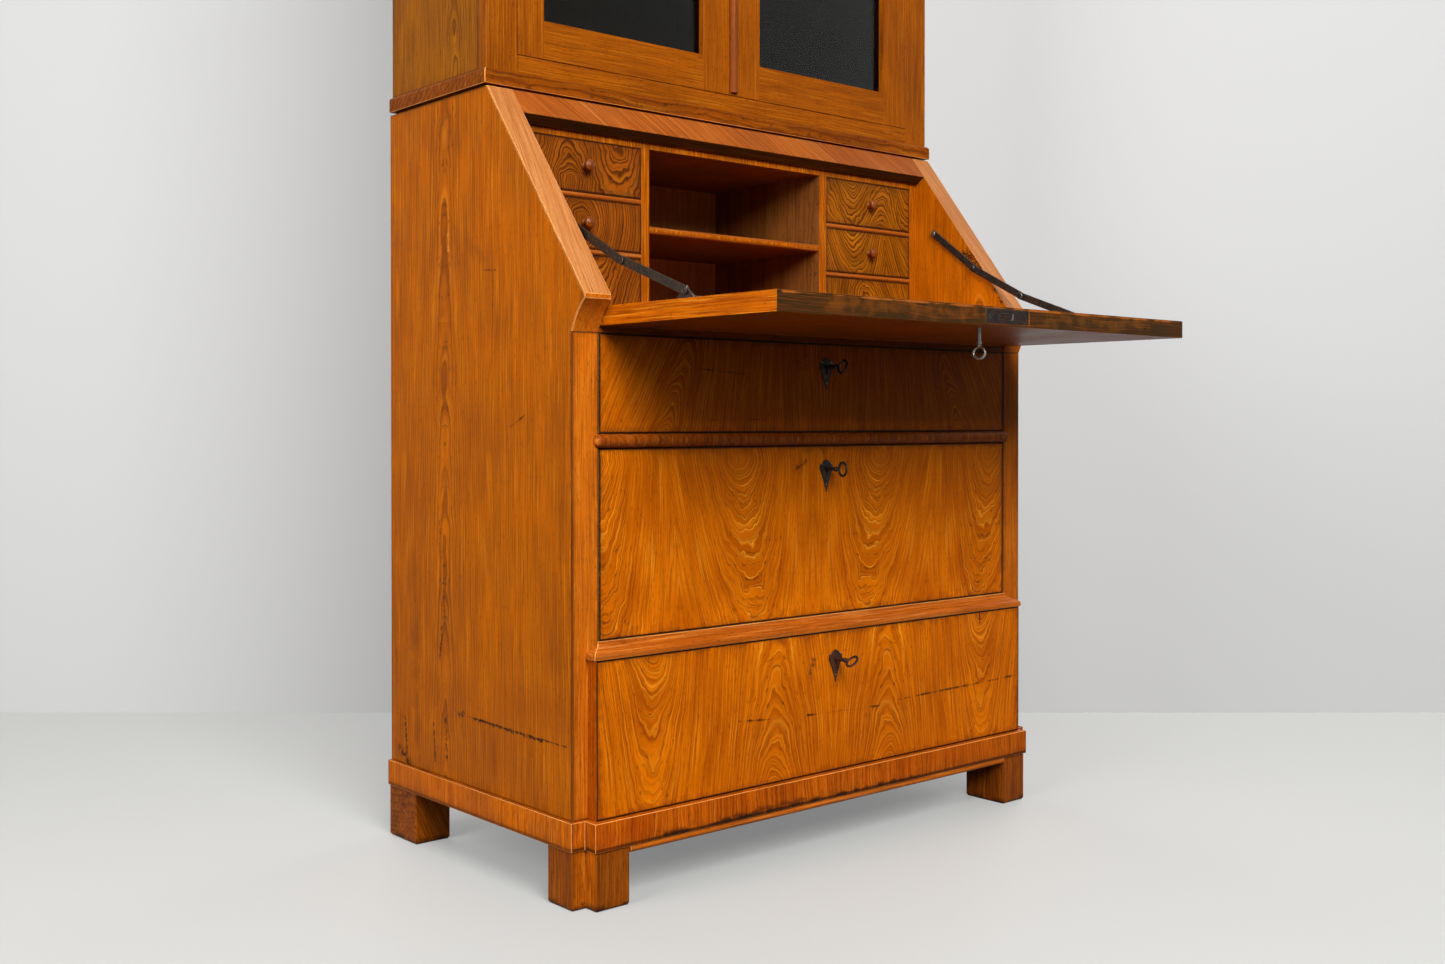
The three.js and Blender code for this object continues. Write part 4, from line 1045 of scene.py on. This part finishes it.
def makePlinth():
    low, high = boxOf("plinth_frame")
    band = ("Z", *plinth["moulded"])
    front = elm(
        "plinthFrontElm", tone="plinth", face=low.y, Centre=-1500, Spacing=4000, Open=400, Climb=40, Ring=5.2,
        Drift=60, Wiggle=40, Line=0.8, Band=0.9, Fibre=0.7, rim=(band, *spans(low, high, "X")),
        marks=plinth["stains"],
    )
    side = straightElm(
        "plinthSideElm", tone="band", axes="YXZ", Centre=-900, Ring=3.6, Line=0.35, Band=0.55, Fibre=0.6,
        Speck=0.8, rim=(band, *spans(low, high, "Y")), rimShare=0.5,
    )
    rod = straightElm("plinthRodElm", tone="moulding", axes="ZYX", Ring=3.5, Line=0.6)
    inside = straightElm("plinthInsidePine", tone="pine", axes="ZYX", Ring=6, rough=0.7)
    # The plinth's eased edges are pale: wear and a painted highlight
    worn = straightElm("plinthEdgeWearAndSheen", tone="worn", axes="ZYX", rough=0.36)

    def pick(centre, normal):
        away, depth, sideways = abs(centre.x), centre.y - low.y, abs(normal.x) > 0.5
        if centre.z < plinth["beadTop"] and away < plinth["beadHalf"] and depth < plinth["beadDepth"]:
            return 2
        if depth < plinth["returnDepth"] and (normal.y < -0.5 or sideways and away < plinth["sideFrom"]):
            return 0
        if away > plinth["sideFrom"] and sideways:
            return 1
        return 0 if normal.z > 0.5 else 3

    finishes = [front, side, rod, inside, worn]
    easedPiece("plinth_frame", plinth["ease"], finishes, pick, name="plinth", edgeSlot=4)


def makeFoot(side, end):
    low, high = boxOf(f"{side}_{end}_foot")
    upright = ("Z", low.z - feet["clean"], high.z + feet["clean"])
    foot = elm(
        f"{side}{end.title()}FootElm", tone="foot", Centre=low.x - 700, Spacing=1600, Open=400, Climb=3,
        Ring=3.4, Drift=10, Line=0.9, Band=0.7, Fibre=0.8, turn=feet["backTurn"] if end == "back" else 0,
        rim=(*spans(low, high, "XY"), upright), rimShare=0.3,
        marks=[(f"{axis}Z", (near, 0), (far, 0), *feet["soleDarkening"])
               for axis, near, far in spans(low, high, "XY")],
    )
    easedPiece(f"{side}_{end}_foot", feet["ease"], [foot])


makePlinth()
for side, hand in sides:
    for end in ("front", "back"):
        makeFoot(side, end)
print("plinth and feet ready")


# Each long drawer's veneer is cut and mirrored its own way
longDrawers = {
    "top": {"mirror": 0, "Centre": 308, "Spacing": 300, "Level": 669, "Open": 350, "Climb": 12, "Slant": 0.42,
            "Fan": 90, "Drift": 20, "Wiggle": 2.5, "Line": 0.75, "Band": 0.5},
    "middle": {"mirror": -28, "Centre": 124, "Spacing": 138, "Level": 412, "Open": 6200, "Climb": -34,
               "Slant": -0.13, "Drift": 22, "Wiggle": 7, "Line": 1.2, "Band": 0.32},
    "bottom": {"mirror": -3, "Centre": 119, "Spacing": 234, "Level": 119, "Open": 120, "Climb": 18,
               "Alternate": 1, "Total": 4100, "Drift": 24, "Wiggle": 4, "Line": 0.48, "Band": 0.42},
}
drawerMarks = {
    "top": (
        ("XZ", (-264, 729), (-167, 722), 1.5, 0.06, 0.8, "#1A0C04"),
        ("XZ", (-250, 655), (-120, 656), 0.9, 0.12, 0.5, "#2A1408"),
    ),
    "middle": (
        ("XZ", (-60, 583), (-42, 590), 8, 0.12, 0.75, "#2E1C0C"),
        ("XZ", (26, 580), (44, 590), 7, 0.12, 0.65, "#2E1C0C"),
        ("XZ", (-12, 612), (-4, 606), 6, 0.12, 0.7, "#241408"),
    ),
    "bottom": (
        ("XZ", (-197, 220), (-101, 212), 2.4, 0.05, 0.9, "#1E1008"),
        ("XZ", (-58, 211), (100, 206), 2.4, 0.05, 0.95, "#1E1008"),
        ("XZ", (-58, 211), (-40, 210), 4.2, 0.02, 0.95, "#1A0E06"),
        ("XZ", (144, 210), (440, 215), 2.4, 0.08, 0.85, "#2A1608"),
        ("XZ", (-362, 330), (-361, 312), 2.6, 0.02, 0.9, "#1A0E06"),
        ("XZ", (345, 330), (346, 312), 2.6, 0.02, 0.9, "#1A0E06"),
        ("XZ", (-52, 270), (-46, 292), 9, 0.12, 0.7, "#3A2610"),
    ),
}
longDrawer = {
    "ease": 1.0,
    "front": 21,              # thickness of the drawer front
    "rimShare": 0.95,
}
drawerLock = {
    "halfWidth": 36,
    "above": 26,              # from the key to the plate's upper and lower edge
    "below": 44,
    "topGap": 3,              # at least, to the front's upper edge
    "thickness": 1.8,
    "sink": 0.5,              # of the plate in the wood
    "ease": 0.35,
    "screwRadius": 2.6,
    "screwInset": 7,
    "screwSink": 0.4,
    "bolt": (11, 3),          # half width and half thickness of the bolt
    "boltDepth": 9,           # of its middle inside the front
    "boltSpan": (-4, 0.3),    # from the front's upper edge
}
# The eased edges of the long drawers' fronts are near-black: painted shade of the gap round each drawer
gapShadeFinish = straightElm("drawerGapDirt", tone="dirt", rough=0.8)
trayPine = straightElm("trayPine", tone="pine", axes="ZXY", Ring=6, Line=0.3, Band=0.6, Fibre=0.6, rough=0.62)
frontEdge = straightElm("drawerFrontEdgeElm", tone="plinth", Ring=4, Fibre=0.7)


def makeLongDrawer(name, cut):
    node = f"{name}_drawer"
    face = boxOf(f"{node}_shield")[1].y
    rear = face + longDrawer["front"]
    low, high = boxOf(node)
    heights = [v.co.z / mm for v in frame["nodes"][node].data.vertices if abs(v.co.y / mm - face) < onePlane]
    front = elm(
        f"{name}FrontElm", face=face, Ring=4.4, Fibre=0.6, Speck=0.8, marks=drawerMarks[name],
        rim=(*spans(low, high, "X"), ("Z", min(heights), max(heights))), rimShare=longDrawer["rimShare"],
        **cut,
    )

    def pick(centre, normal):
        if centre.y > rear:
            return 2
        return 0 if normal.y < -0.5 else 1

    finishes = [front, frontEdge, trayPine, gapShadeFinish]
    easedPiece(node, longDrawer["ease"], finishes, pick, name=f"{name}LongDrawer", edgeSlot=3)
    addDrawerLock(name, rear, max(heights))


# The lock is let into the back of the front, so only its plate, screws and bolt show
def addDrawerLock(name, rear, top):
    body = bodyOf[f"{name}_drawer"]
    half, thickness, inset = (drawerLock[key] for key in ("halfWidth", "thickness", "screwInset"))
    middle = middleOf(f"{name}_drawer_key").z
    low = (-half, rear - drawerLock["sink"], middle - drawerLock["below"])
    high = (half, rear + thickness, min(middle + drawerLock["above"], top - drawerLock["topGap"]))
    boltHalf, boltThick = drawerLock["bolt"]
    under, over = (top + reach for reach in drawerLock["boltSpan"])
    depth = rear - drawerLock["boltDepth"]
    bolt = slab((-boltHalf, depth - boltThick, under), (boltHalf, depth + boltThick, over))
    newPiece(finishMesh(meshOf(f"{name}Lock", [slab(low, high), bolt], darkIron), drawerLock["ease"]), body)
    spots = [(x, high[1] - drawerLock["screwSink"], z)
             for x in (inset - half, half - inset) for z in (low[2] + inset, high[2] - inset)]
    addScrews(f"{name}LockScrews", spots, drawerLock["screwRadius"], "back", brightIron, body)


for name, cut in longDrawers.items():
    makeLongDrawer(name, cut)
print("long drawers ready")


shield = {
    "ease": 0.5,
    "pinRadius": 1.3,
    "pinHeight": 0.7,
    "pins": ((-10.5, 8), (10.5, 8), (0, -24)),    # across and up from the key
}
keys = {
    "wire": 1.9,
    "wirePoints": 10,
    "bowWide": 10.4,          # half height of the ring across the shaft
    "bowLong": 8.2,
    "bowPoints": 28,
    "bowOverlap": 1.6,        # of the ring on the shaft's end
    "pinch": 0.10,            # the bow draws in a little where it meets the shaft
    "shaftPoints": 20,
    "collarProfile": ((0, 0), (0, 2.32), (2, 3.198), (3.2, 2.46), (4.4, 4.1), (6.4, 4.1), (7.4, 2.9)),
    "tipProfile": ((-0.6, 2.9), (0, 2.2), (0, 0)),
    "bit": (1.3, 11, 7),      # half thickness, reach from the shaft's middle, length
    "twists": {"top": 24, "middle": 0, "bottom": 52, "door": 0, "fall": 0},    # degrees, as they were left
}


# A bow, a turned shaft and a bit, along one axis from start, with the bow turned about the shaft
def keyForms(start, reach, lead, twist):
    drop = 3 - lead           # the bit reaches along Z where the key lies along Y, and along Y where along Z
    ahead, across = Vector(), Vector()
    ahead[lead] = 1
    across.x, across[drop] = math.sin(twist), math.cos(twist)
    centre = start + ahead * (keys["bowLong"] + keys["wire"])
    ring = []
    for step in range(keys["bowPoints"]):
        angle = 2 * math.pi * step / keys["bowPoints"]
        wide = keys["bowWide"] * math.sin(angle) * (1 - keys["pinch"] * max(0, math.cos(angle)))
        ring.append(centre + ahead * keys["bowLong"] * math.cos(angle) + across * wide)
    root = 2 * (keys["bowLong"] + keys["wire"]) - keys["bowOverlap"]
    profile = [(root + along, radius) for along, radius in keys["collarProfile"]]
    profile += [(reach + along, radius) for along, radius in keys["tipProfile"]]
    half, deep, length = keys["bit"]
    low, high = start + ahead * (reach - length), start + ahead * reach
    low.x -= half
    high.x += half
    if drop == 2:
        low[drop] -= deep
    else:
        high[drop] += deep
    return [
        wireLoop(ring, keys["wire"], keys["wirePoints"]),
        turned(profile, start, "XYZ"[lead], keys["shaftPoints"]),
        slab(low, high),
    ]


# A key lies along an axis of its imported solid's box, with its bow at the low end
def addKey(name, node, axis, middle, material):
    lead = "XYZ".index(axis)
    low, high = boxOf(node)
    start = middle.copy()
    start[lead] = low[lead]
    forms = keyForms(start, high[lead] - low[lead], lead, math.radians(keys["twists"][name]))
    standIn(node, meshOf(f"{name}Key", forms, material))


def addDrawerKey(name):
    shieldNode, keyNode = f"{name}_drawer_shield", f"{name}_drawer_key"
    iron = rustyIron if name == "bottom" else darkIron
    easedPiece(shieldNode, shield["ease"], [iron], name=f"{name}Shield")
    middle = middleOf(keyNode)
    addKey(name, keyNode, "Y", middle, iron)
    pins = [(x, boxOf(shieldNode)[0].y, middle.z + z) for x, z in shield["pins"]]
    addPins(f"{name}ShieldPins", pins, shield["pinRadius"], shield["pinHeight"], "front", brightIron,
            bodyOf[f"{name}_drawer"])


for name in longDrawers:
    addDrawerKey(name)
addKey("door", "door_key", "Y", middleOf("door_key"), darkIron)
addKey("fall", "fall_key", "Z", jointPlace("fall_key_turn"), keySteel)
print("keys and shields ready")


# Six small drawers in walnut-dark elm, each with its own figure, and the case that holds them
pigeonholes = {
    "ease": 0.7,
    "edgeDepth": 9,
    "backThickness": 25,      # faces nearer the rear than this are the back board's
    "stripHeight": 14,
    # painted shadow of the slope rail across the case's top strip
    "stripShade": (12, 0.01, 0.45, "#4A2804"),
    "drawerEase": 0.6,
    "veneer": 2,              # how far behind a small drawer's face its veneer may reach
    "knobLength": 18,         # before the face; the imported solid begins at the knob's tip
    "knobPoints": 28,
    "knobProfile": (          # along the knob from inside the front, and radius
        (1.5, 0), (1.5, 5.2), (-0.6, 6.2), (-2.2, 5.8), (-3.0, 4.4), (-5.2, 3.5), (-7.6, 3.4), (-9.4, 4.4),
        (-10.4, 6.9), (-11.8, 8.6), (-13.6, 9.0), (-15.4, 8.3), (-16.6, 6.6), (-17.0, 4.2), (-17.8, 3.2),
        (-18, 0),
    ),
}
smallFigures = {
    "left": {
        "upper": {"Centre": -335, "Spacing": 88, "Open": 250, "Climb": 22, "Alternate": 1, "Total": 2600},
        "middle": {"Centre": -312, "Spacing": 300, "Open": 60, "Climb": -6, "Round": 0.62},
        "lower": {"Centre": -290, "Spacing": 130, "Open": 2400, "Climb": -14, "Slant": -0.25},
    },
    "right": {
        "upper": {"Centre": 268, "Spacing": 74, "Open": 1500, "Climb": -34, "Alternate": 1, "Total": 3200},
        "middle": {"Centre": 272, "Spacing": 82, "Open": 2400, "Climb": -42, "Slant": 0.1},
        "lower": {"Centre": 305, "Spacing": 110, "Open": 1500, "Climb": 26, "Round": 0.1, "Slant": 0.2},
    },
}
smallTray = straightElm("smallTrayPine", tone="pine", axes="ZXY", Ring=5, rough=0.6)
knobElm = straightElm("knobElm", tone="polished", Ring=2.4, Line=0.4, rough=0.26, coat=0.25)


def makePigeonholeCase():
    low, high = boxOf("pigeonhole_case")
    rail = straightElm("caseRailElm", tone="rail", axes="ZYX", Ring=3.4, Line=0.6, rough=0.36)
    inner = elm("caseInsideElm", axes="YXZ", tone="inside", Centre=120, Spacing=200, Open=900, Ring=5,
                Line=0.35, rough=0.5)
    # The case's back takes the paler slope tone: painted light, lifting it out of the shade it stands in
    back = straightElm("caseBackElm", tone="slope", Ring=6, Line=0.3, rough=0.5)
    strip = high.z - pigeonholes["stripHeight"] / 2
    front = straightElm(
        "caseFrontElm", tone="side", face=low.y, Centre=-900, Spacing=2400, Ring=4.6, Drift=40, Line=0.7,
        Band=1.5, Fibre=1.2, Speck=1.0,
        # the top strip is darkened: painted shadow under the slope rail
        marks=[("XZ", (low.x, strip), (high.x, strip), *pigeonholes["stripShade"])],
    )

    def pick(centre, normal):
        if normal.y > -0.2 or centre.y > low.y + pigeonholes["edgeDepth"]:
            return 3 if normal.y < -0.9 and centre.y > high.y - pigeonholes["backThickness"] else 2
        return 0 if normal.y < -0.98 else 1

    easedPiece("pigeonhole_case", pigeonholes["ease"], [front, rail, inner, back], pick)


def makeSmallDrawer(side, row, cut):
    node, name = f"{side}_{row}_small_drawer", f"{side}{row.title()}"
    low, high = boxOf(node)
    place = middleOf(node)
    place.y = face = low.y + pigeonholes["knobLength"]
    front = elm(
        f"{name}SmallElm", tone="burr" if side == "left" else "figured", face=face, Level=place.z, Ring=4.1,
        Drift=30, Wiggle=7, Line=0.5, Band=1.2, Fibre=0.5, rim=spans(low, high, "XZ"), rimShare=0.8, **cut,
    )
    mesh = copyOf(
        node, f"{name}SmallDrawer", [front, smallTray],
        lambda centre, normal: 0 if normal.y < -0.5 and centre.y < face + pigeonholes["veneer"] else 1,
        dropped=lambda corner: corner.y < face - onePlane,
    )
    standIn(node, finishMesh(closedMesh(mesh), pigeonholes["drawerEase"]))
    knob = turned(pigeonholes["knobProfile"], place, "Y", pigeonholes["knobPoints"])
    newPiece(meshOf(f"{name}Knob", [knob], knobElm), bodyOf[node])


# Closes the hole that the dropped knob leaves
def closedMesh(mesh):
    shape = bmesh.new()
    shape.from_mesh(mesh)
    gaps = [edge for edge in shape.edges if len(edge.link_faces) == 1]
    bmesh.ops.holes_fill(shape, edges=gaps, sides=0)
    for face in shape.faces:
        face.smooth = True
    shape.normal_update()
    shape.to_mesh(mesh)
    shape.free()
    return mesh


makePigeonholeCase()
for side, rows in smallFigures.items():
    for row, cut in rows.items():
        makeSmallDrawer(side, row, cut)
print("pigeonhole case ready")


fall = {
    "ease": 1.0,
    "stains": (
        ("XZ", (-340, 796), (-60, 795), 14, 0.05, 0.34, "#7C4210"),
        ("XZ", (90, 794), (330, 798), 14, 0.05, 0.28, "#7C4810"),
        # a pale line along the upper arris of the front edge: painted highlight
        ("XZ", (-420, 806), (420, 806), 1.8, 0.03, 0.7, "#A85A1C"),
    ),
    "endStains": (("YZ", (-235, 780), (-235, 810), 1.0, 0.01, 0.7, "#4A2008"),),
}
fallLock = {
    "ease": 0.5,
    "slot": (24, 8, 2.2),     # across, high and deep: where the bolt comes out
    "setBack": 0.4,           # of the selvedge, so that its screws stay inside the fall's edge
    "boltHalf": (9, 3),       # across and high
    "boltSpan": (1.1, 3.4),   # inwards from the fall's edge
    "boltEase": 0.4,
    "screwX": 39,
    "screwSink": 0.9,
    "screwRadius": 3.2,
}
fallHinge = {
    "places": (-300, 0, 300),
    "halfLength": 28,
    "leafWidth": 17,
    "leafGap": 1.0,           # from the pin's axis
    "leafUnder": 1,           # below the pin's axis, which is level with the wood, and above it
    "leafProud": 0.3,
    "knuckle": 2.6,
    "knuckleDrop": 1.2,       # below the axis, so that the knuckle hardly stands proud
    "knuckleLength": 0.38,    # share of half a hinge
    "knucklePoints": 16,
    "screws": (-0.62, 0, 0.62),    # shares of half a hinge
    "screwReach": 0.62,       # share of a leaf's width
    "screwSink": 0.75,
    "screwRadius": 2.2,
}


def makeFall():
    low, high = boxOf("fall")
    inside = elm("fallInsideElm", axes="YZX", face=high.z, Centre=low.y + 120, Spacing=150, Open=400,
                 Climb=0.8, Ring=5, Line=0.8, Wiggle=8)
    outside = elm(
        "fallOutsideElm", tone="shaded", mirror=-10, axes="XZY", face=low.z, Centre=130, Spacing=120,
        Level=low.y + 120, Open=1500, Climb=13, Ring=4.4, Drift=24, Wiggle=4, Line=0.6, Band=0.45, rough=0.36,
    )
    front = straightElm("fallEdgeElm", axes="ZYX", tone="edge", face=low.y, Ring=5, Drift=30, Line=0.6,
                        Band=0.8, Fibre=0.8, rough=0.44, marks=fall["stains"])
    ends = straightElm("fallEndElm", axes="ZXY", Ring=3.6, Line=0.6, Fibre=0.8, Speck=0.9,
                       marks=fall["endStains"])

    def pick(centre, normal):
        if abs(normal.z) > 0.7:
            return 0 if normal.z > 0 else 1
        return 2 if normal.y < -0.5 else 3

    easedPiece("fall", fall["ease"], [inside, outside, front, ends], pick)


def makeFallLock():
    edge, middle = boxOf("fall_lock")[0].y, middleOf("fall_lock").z
    mesh = copyOf("fall_lock", "fallLock", [darkIron, brightIron, darkIron])
    for corner in mesh.vertices:
        if corner.co.y / mm < edge + onePlane:
            corner.co.y += fallLock["setBack"] * mm
    across, tall, deep = fallLock["slot"]
    slot = ((-across / 2, edge - 1, middle - tall / 2), (across / 2, edge + deep, middle + tall / 2))
    standIn("fall_lock", finishMesh(mesh, fallLock["ease"], edgeSlot=1, pockets=[slot]))
    halfWide, halfTall = fallLock["boltHalf"]
    near, far = (edge + depth for depth in fallLock["boltSpan"])
    bolt = slab((-halfWide, near, middle - halfTall), (halfWide, far, middle + halfTall))
    newPiece(finishMesh(meshOf("fallBolt", [bolt], rustyIron), fallLock["boltEase"]), "fall_body")
    screws = [(x, edge + fallLock["screwSink"], middle) for x in (-fallLock["screwX"], fallLock["screwX"])]
    addScrews("fallLockScrews", screws, fallLock["screwRadius"], "front", stayIron, "fall_body", seed=5)


# Three butt hinges let in flush: one leaf in the writing surface, one in the fall, the pin level with both
def makeFallLeaves(name, body, way, starts):
    pin = jointPlace("fall_hinge")
    half, width, knuckle = (fallHinge[key] for key in ("halfLength", "leafWidth", "knuckle"))
    near, far = sorted((pin.y + fallHinge["leafGap"] * way, pin.y + width * way))
    top, length = pin.z + fallHinge["leafProud"], half * fallHinge["knuckleLength"]
    screwPlace = (pin.y + width * fallHinge["screwReach"] * way, top - fallHinge["screwSink"])
    profile = ((0, 0), (0, knuckle), (length, knuckle), (length, 0))
    forms, spots = [], []
    for x in fallHinge["places"]:
        forms.append(slab((x - half, near, pin.z - fallHinge["leafUnder"]), (x + half, far, top)))
        for start in starts:
            place = (x + half * start, pin.y, pin.z - fallHinge["knuckleDrop"])
            forms.append(turned(profile, place, "X", fallHinge["knucklePoints"]))
        spots += [(x + half * share, *screwPlace) for share in fallHinge["screws"]]
    newPiece(meshOf(name, forms, darkIron), body)
    addScrews(f"{name}Screws", spots, fallHinge["screwRadius"], "up", brightIron, body, seed=9)


makeFall()
makeFallLock()
makeFallLeaves("deskLeaves", "root", 1, (-1, -0.2))
makeFallLeaves("fallLeaves", "fall_body", -1, (-0.6, 0.2))
print("fall ready")


stays = {
    "ease": 0.45,
    "headRadius": 4.8,
    "headHeight": 1.5,
    "wallHead": 5.4,
    "wallInset": 4.2,         # of the wall pin's head, from the upper link's inner face towards the cheek
}


# A folding iron stay: flat links with a domed rivet at each knee
def makeStay(side, hand):
    for part in ("upper_link", "middle_link", "lower_link", "fall_bracket"):
        # The links' eased edges are pale iron: wear and a painted glint
        easedPiece(f"{side}_stay_{part}", stays["ease"], [stayIron, brightIron], edgeSlot=1)
    facing, end = ("right", 1) if hand < 0 else ("left", 0)
    upperX, lowerX = (boxOf(f"{side}_stay_{link}_link")[end].x for link in ("upper", "lower"))
    wallX = upperX + stays["wallInset"] * hand
    # the knee rivet is dark iron; the wall and bracket rivets are pale iron, with a painted glint
    for name, joint, x, radius, iron, body in (
        ("Knee", "knee", upperX, stays["headRadius"], stayIron, f"{side}_stay_upper_body"),
        ("Wall", "wall_pivot", wallX, stays["wallHead"], brightIron, f"{side}_stay_upper_body"),
        ("Bracket", "fall_pivot", lowerX, stays["headRadius"], brightIron, "fall_body"),
    ):
        place = jointPlace(f"{side}_stay_{joint}")
        place.x = x
        addPins(f"{side}{name}Rivet", [place], radius, stays["headHeight"], facing, iron, body)


for side, hand in sides:
    makeStay(side, hand)
print("stays ready")


cabinet = {
    "ease": 0.8,
    "baseEase": 1.0,
    "corniceEase": 0.6,
    "shelfEase": 1.0,
    "openingHalf": 418,       # half the width between the face frame's stiles
    "frameRails": ((1161, 1188.4), (2007.1, 2041)),    # heights at which the grain runs across
    "doorRails": ((1188.4, 1246.0), (1949.0, 2007.1)),
    "paneCover": 6,           # of the glass behind a door's stile
    "hinges": ((1470, 1540), (1860, 1930)),
    "barrel": 3.4,
    "barrelPoints": 20,
    "barrelEnd": ((0, 0), (0, 0.5), (1.5, 0.9), (3, 0.6), (4, 1)),    # from the end, and share of the radius
    "barrelCut": ((-0.3, 0), (-0.2, 0.6), (0.2, 0.6), (0.3, 0)),    # along the barrel, and depth
}
# The cabinet sides' inner faces are near-black: painted shade of the case behind the glass
cabinetDark = straightElm("cabinetInnerElm", axes="YXZ", tone="cavity", Ring=6, rough=0.7)
doorInner = straightElm("doorInnerElm", tone="inside", Ring=5)
astragal = straightElm("astragalElm", tone="polished", Ring=3, rough=0.4)


# Boxes over the rails at these heights
def crossing(heights, low, high):
    return tuple((("Z", *height), ("X", low, high)) for height in heights)


def makeCabinetSide(side, hand):
    low, high = boxOf(f"cabinet_{side}_side")
    panel = elm(
        f"{side}CabinetSideElm", axes="YXZ", tone="cabinet", face=low.x if hand < 0 else high.x,
        Centre=230 if hand < 0 else 180, Spacing=400, Level=1134, Open=90, Climb=1.2, Ring=4.6, Drift=20,
        Line=0.6, Band=0.8, Fibre=0.7, rim=spans(low, high, "YZ"), rimShare=0.5,
    )
    easedPiece(f"cabinet_{side}_side", cabinet["ease"], [panel, cabinetDark],
               lambda centre, normal: int(normal.x * hand < -0.5), name=f"{side}CabinetSide")


def makeCabinetFrame():
    base = elm("cabinetBaseElm", axes="ZYX", tone="cabinetBase", Centre=1120, Spacing=300, Open=140,
               Climb=0.6, Ring=3.0, Drift=12, Wiggle=1.5, Line=0.3, Band=0.8, Fibre=0.8)
    # The base's eased edges are pale: wear and a painted highlight
    worn = straightElm("cabinetWornEdge", axes="ZYX", tone="worn", rough=0.4)
    easedPiece("cabinet_base", cabinet["baseEase"], [base, worn], edgeSlot=1)
    cornice = straightElm("corniceElm", axes="ZYX", tone="cabinet", Ring=4, Line=0.6, Band=0.6)
    easedPiece("cornice", cabinet["corniceEase"], [cornice])
    half = cabinet["openingHalf"]
    faceFrame = straightElm(
        "cabinetFrameElm", tone="door", face=boxOf("cabinet_face_frame")[0].y, Centre=-1300, Spacing=3000,
        Ring=3.8, Line=0.6, Band=0.7, Fibre=0.8, cross=crossing(cabinet["frameRails"], -half, half),
    )
    easedPiece("cabinet_face_frame", cabinet["ease"], [faceFrame])
    makePlanks("cabinet_back", "cabinetBack")
    # The shelves take the same near-black painted shade
    shelf = straightElm("cabinetShelfElm", axes="YZX", tone="cavity", Ring=6, rough=0.6)
    for level in ("lower", "upper"):
        easedPiece(f"cabinet_{level}_shelf", cabinet["shelfEase"], [shelf])


def makeDoor(side):
    paneLow, paneHigh = boxOf(f"{side}_door_glass")
    face, cover = boxOf("left_door")[0].y, cabinet["paneCover"]
    rails = crossing(cabinet["doorRails"], paneLow.x + cover, paneHigh.x - cover)
    doorElm = straightElm(f"{side}DoorElm", tone="door", face=face, cross=rails, Centre=-1300, Spacing=3000,
                          Ring=3.8, Line=0.7, Band=0.55, Fibre=0.7)

    def pick(centre, normal):
        if centre.y < face - 0.5:
            return 2
        return 1 if normal.y > 0.5 else 0

    easedPiece(f"{side}_door", cabinet["ease"], [doorElm, doorInner, astragal], pick)
    easedPiece(f"{side}_door_glass", 0, [paneGlass])
    addDoorHinges(side)


# Each barrel has a small ball at both ends and is cut in three
def addDoorHinges(side):
    axis = jointPlace(f"{side}_door_hinge")
    axis.z = 0
    radius = cabinet["barrel"]
    forms = []
    for bottom, top in cabinet["hinges"]:
        profile = [(bottom + along, radius * share) for along, share in cabinet["barrelEnd"]]
        for cut in (1 / 3, 2 / 3):
            middle = bottom + (top - bottom) * cut
            profile += [(middle + along, radius - depth) for along, depth in cabinet["barrelCut"]]
        profile += [(top - along, radius * share) for along, share in reversed(cabinet["barrelEnd"])]
        forms.append(turned(profile, axis, "Z", cabinet["barrelPoints"]))
    newPiece(meshOf(f"{side}DoorHinges", forms, darkIron), "root")


for side, hand in sides:
    makeCabinetSide(side, hand)
makeCabinetFrame()
for side, hand in sides:
    makeDoor(side)
print("cabinet ready")
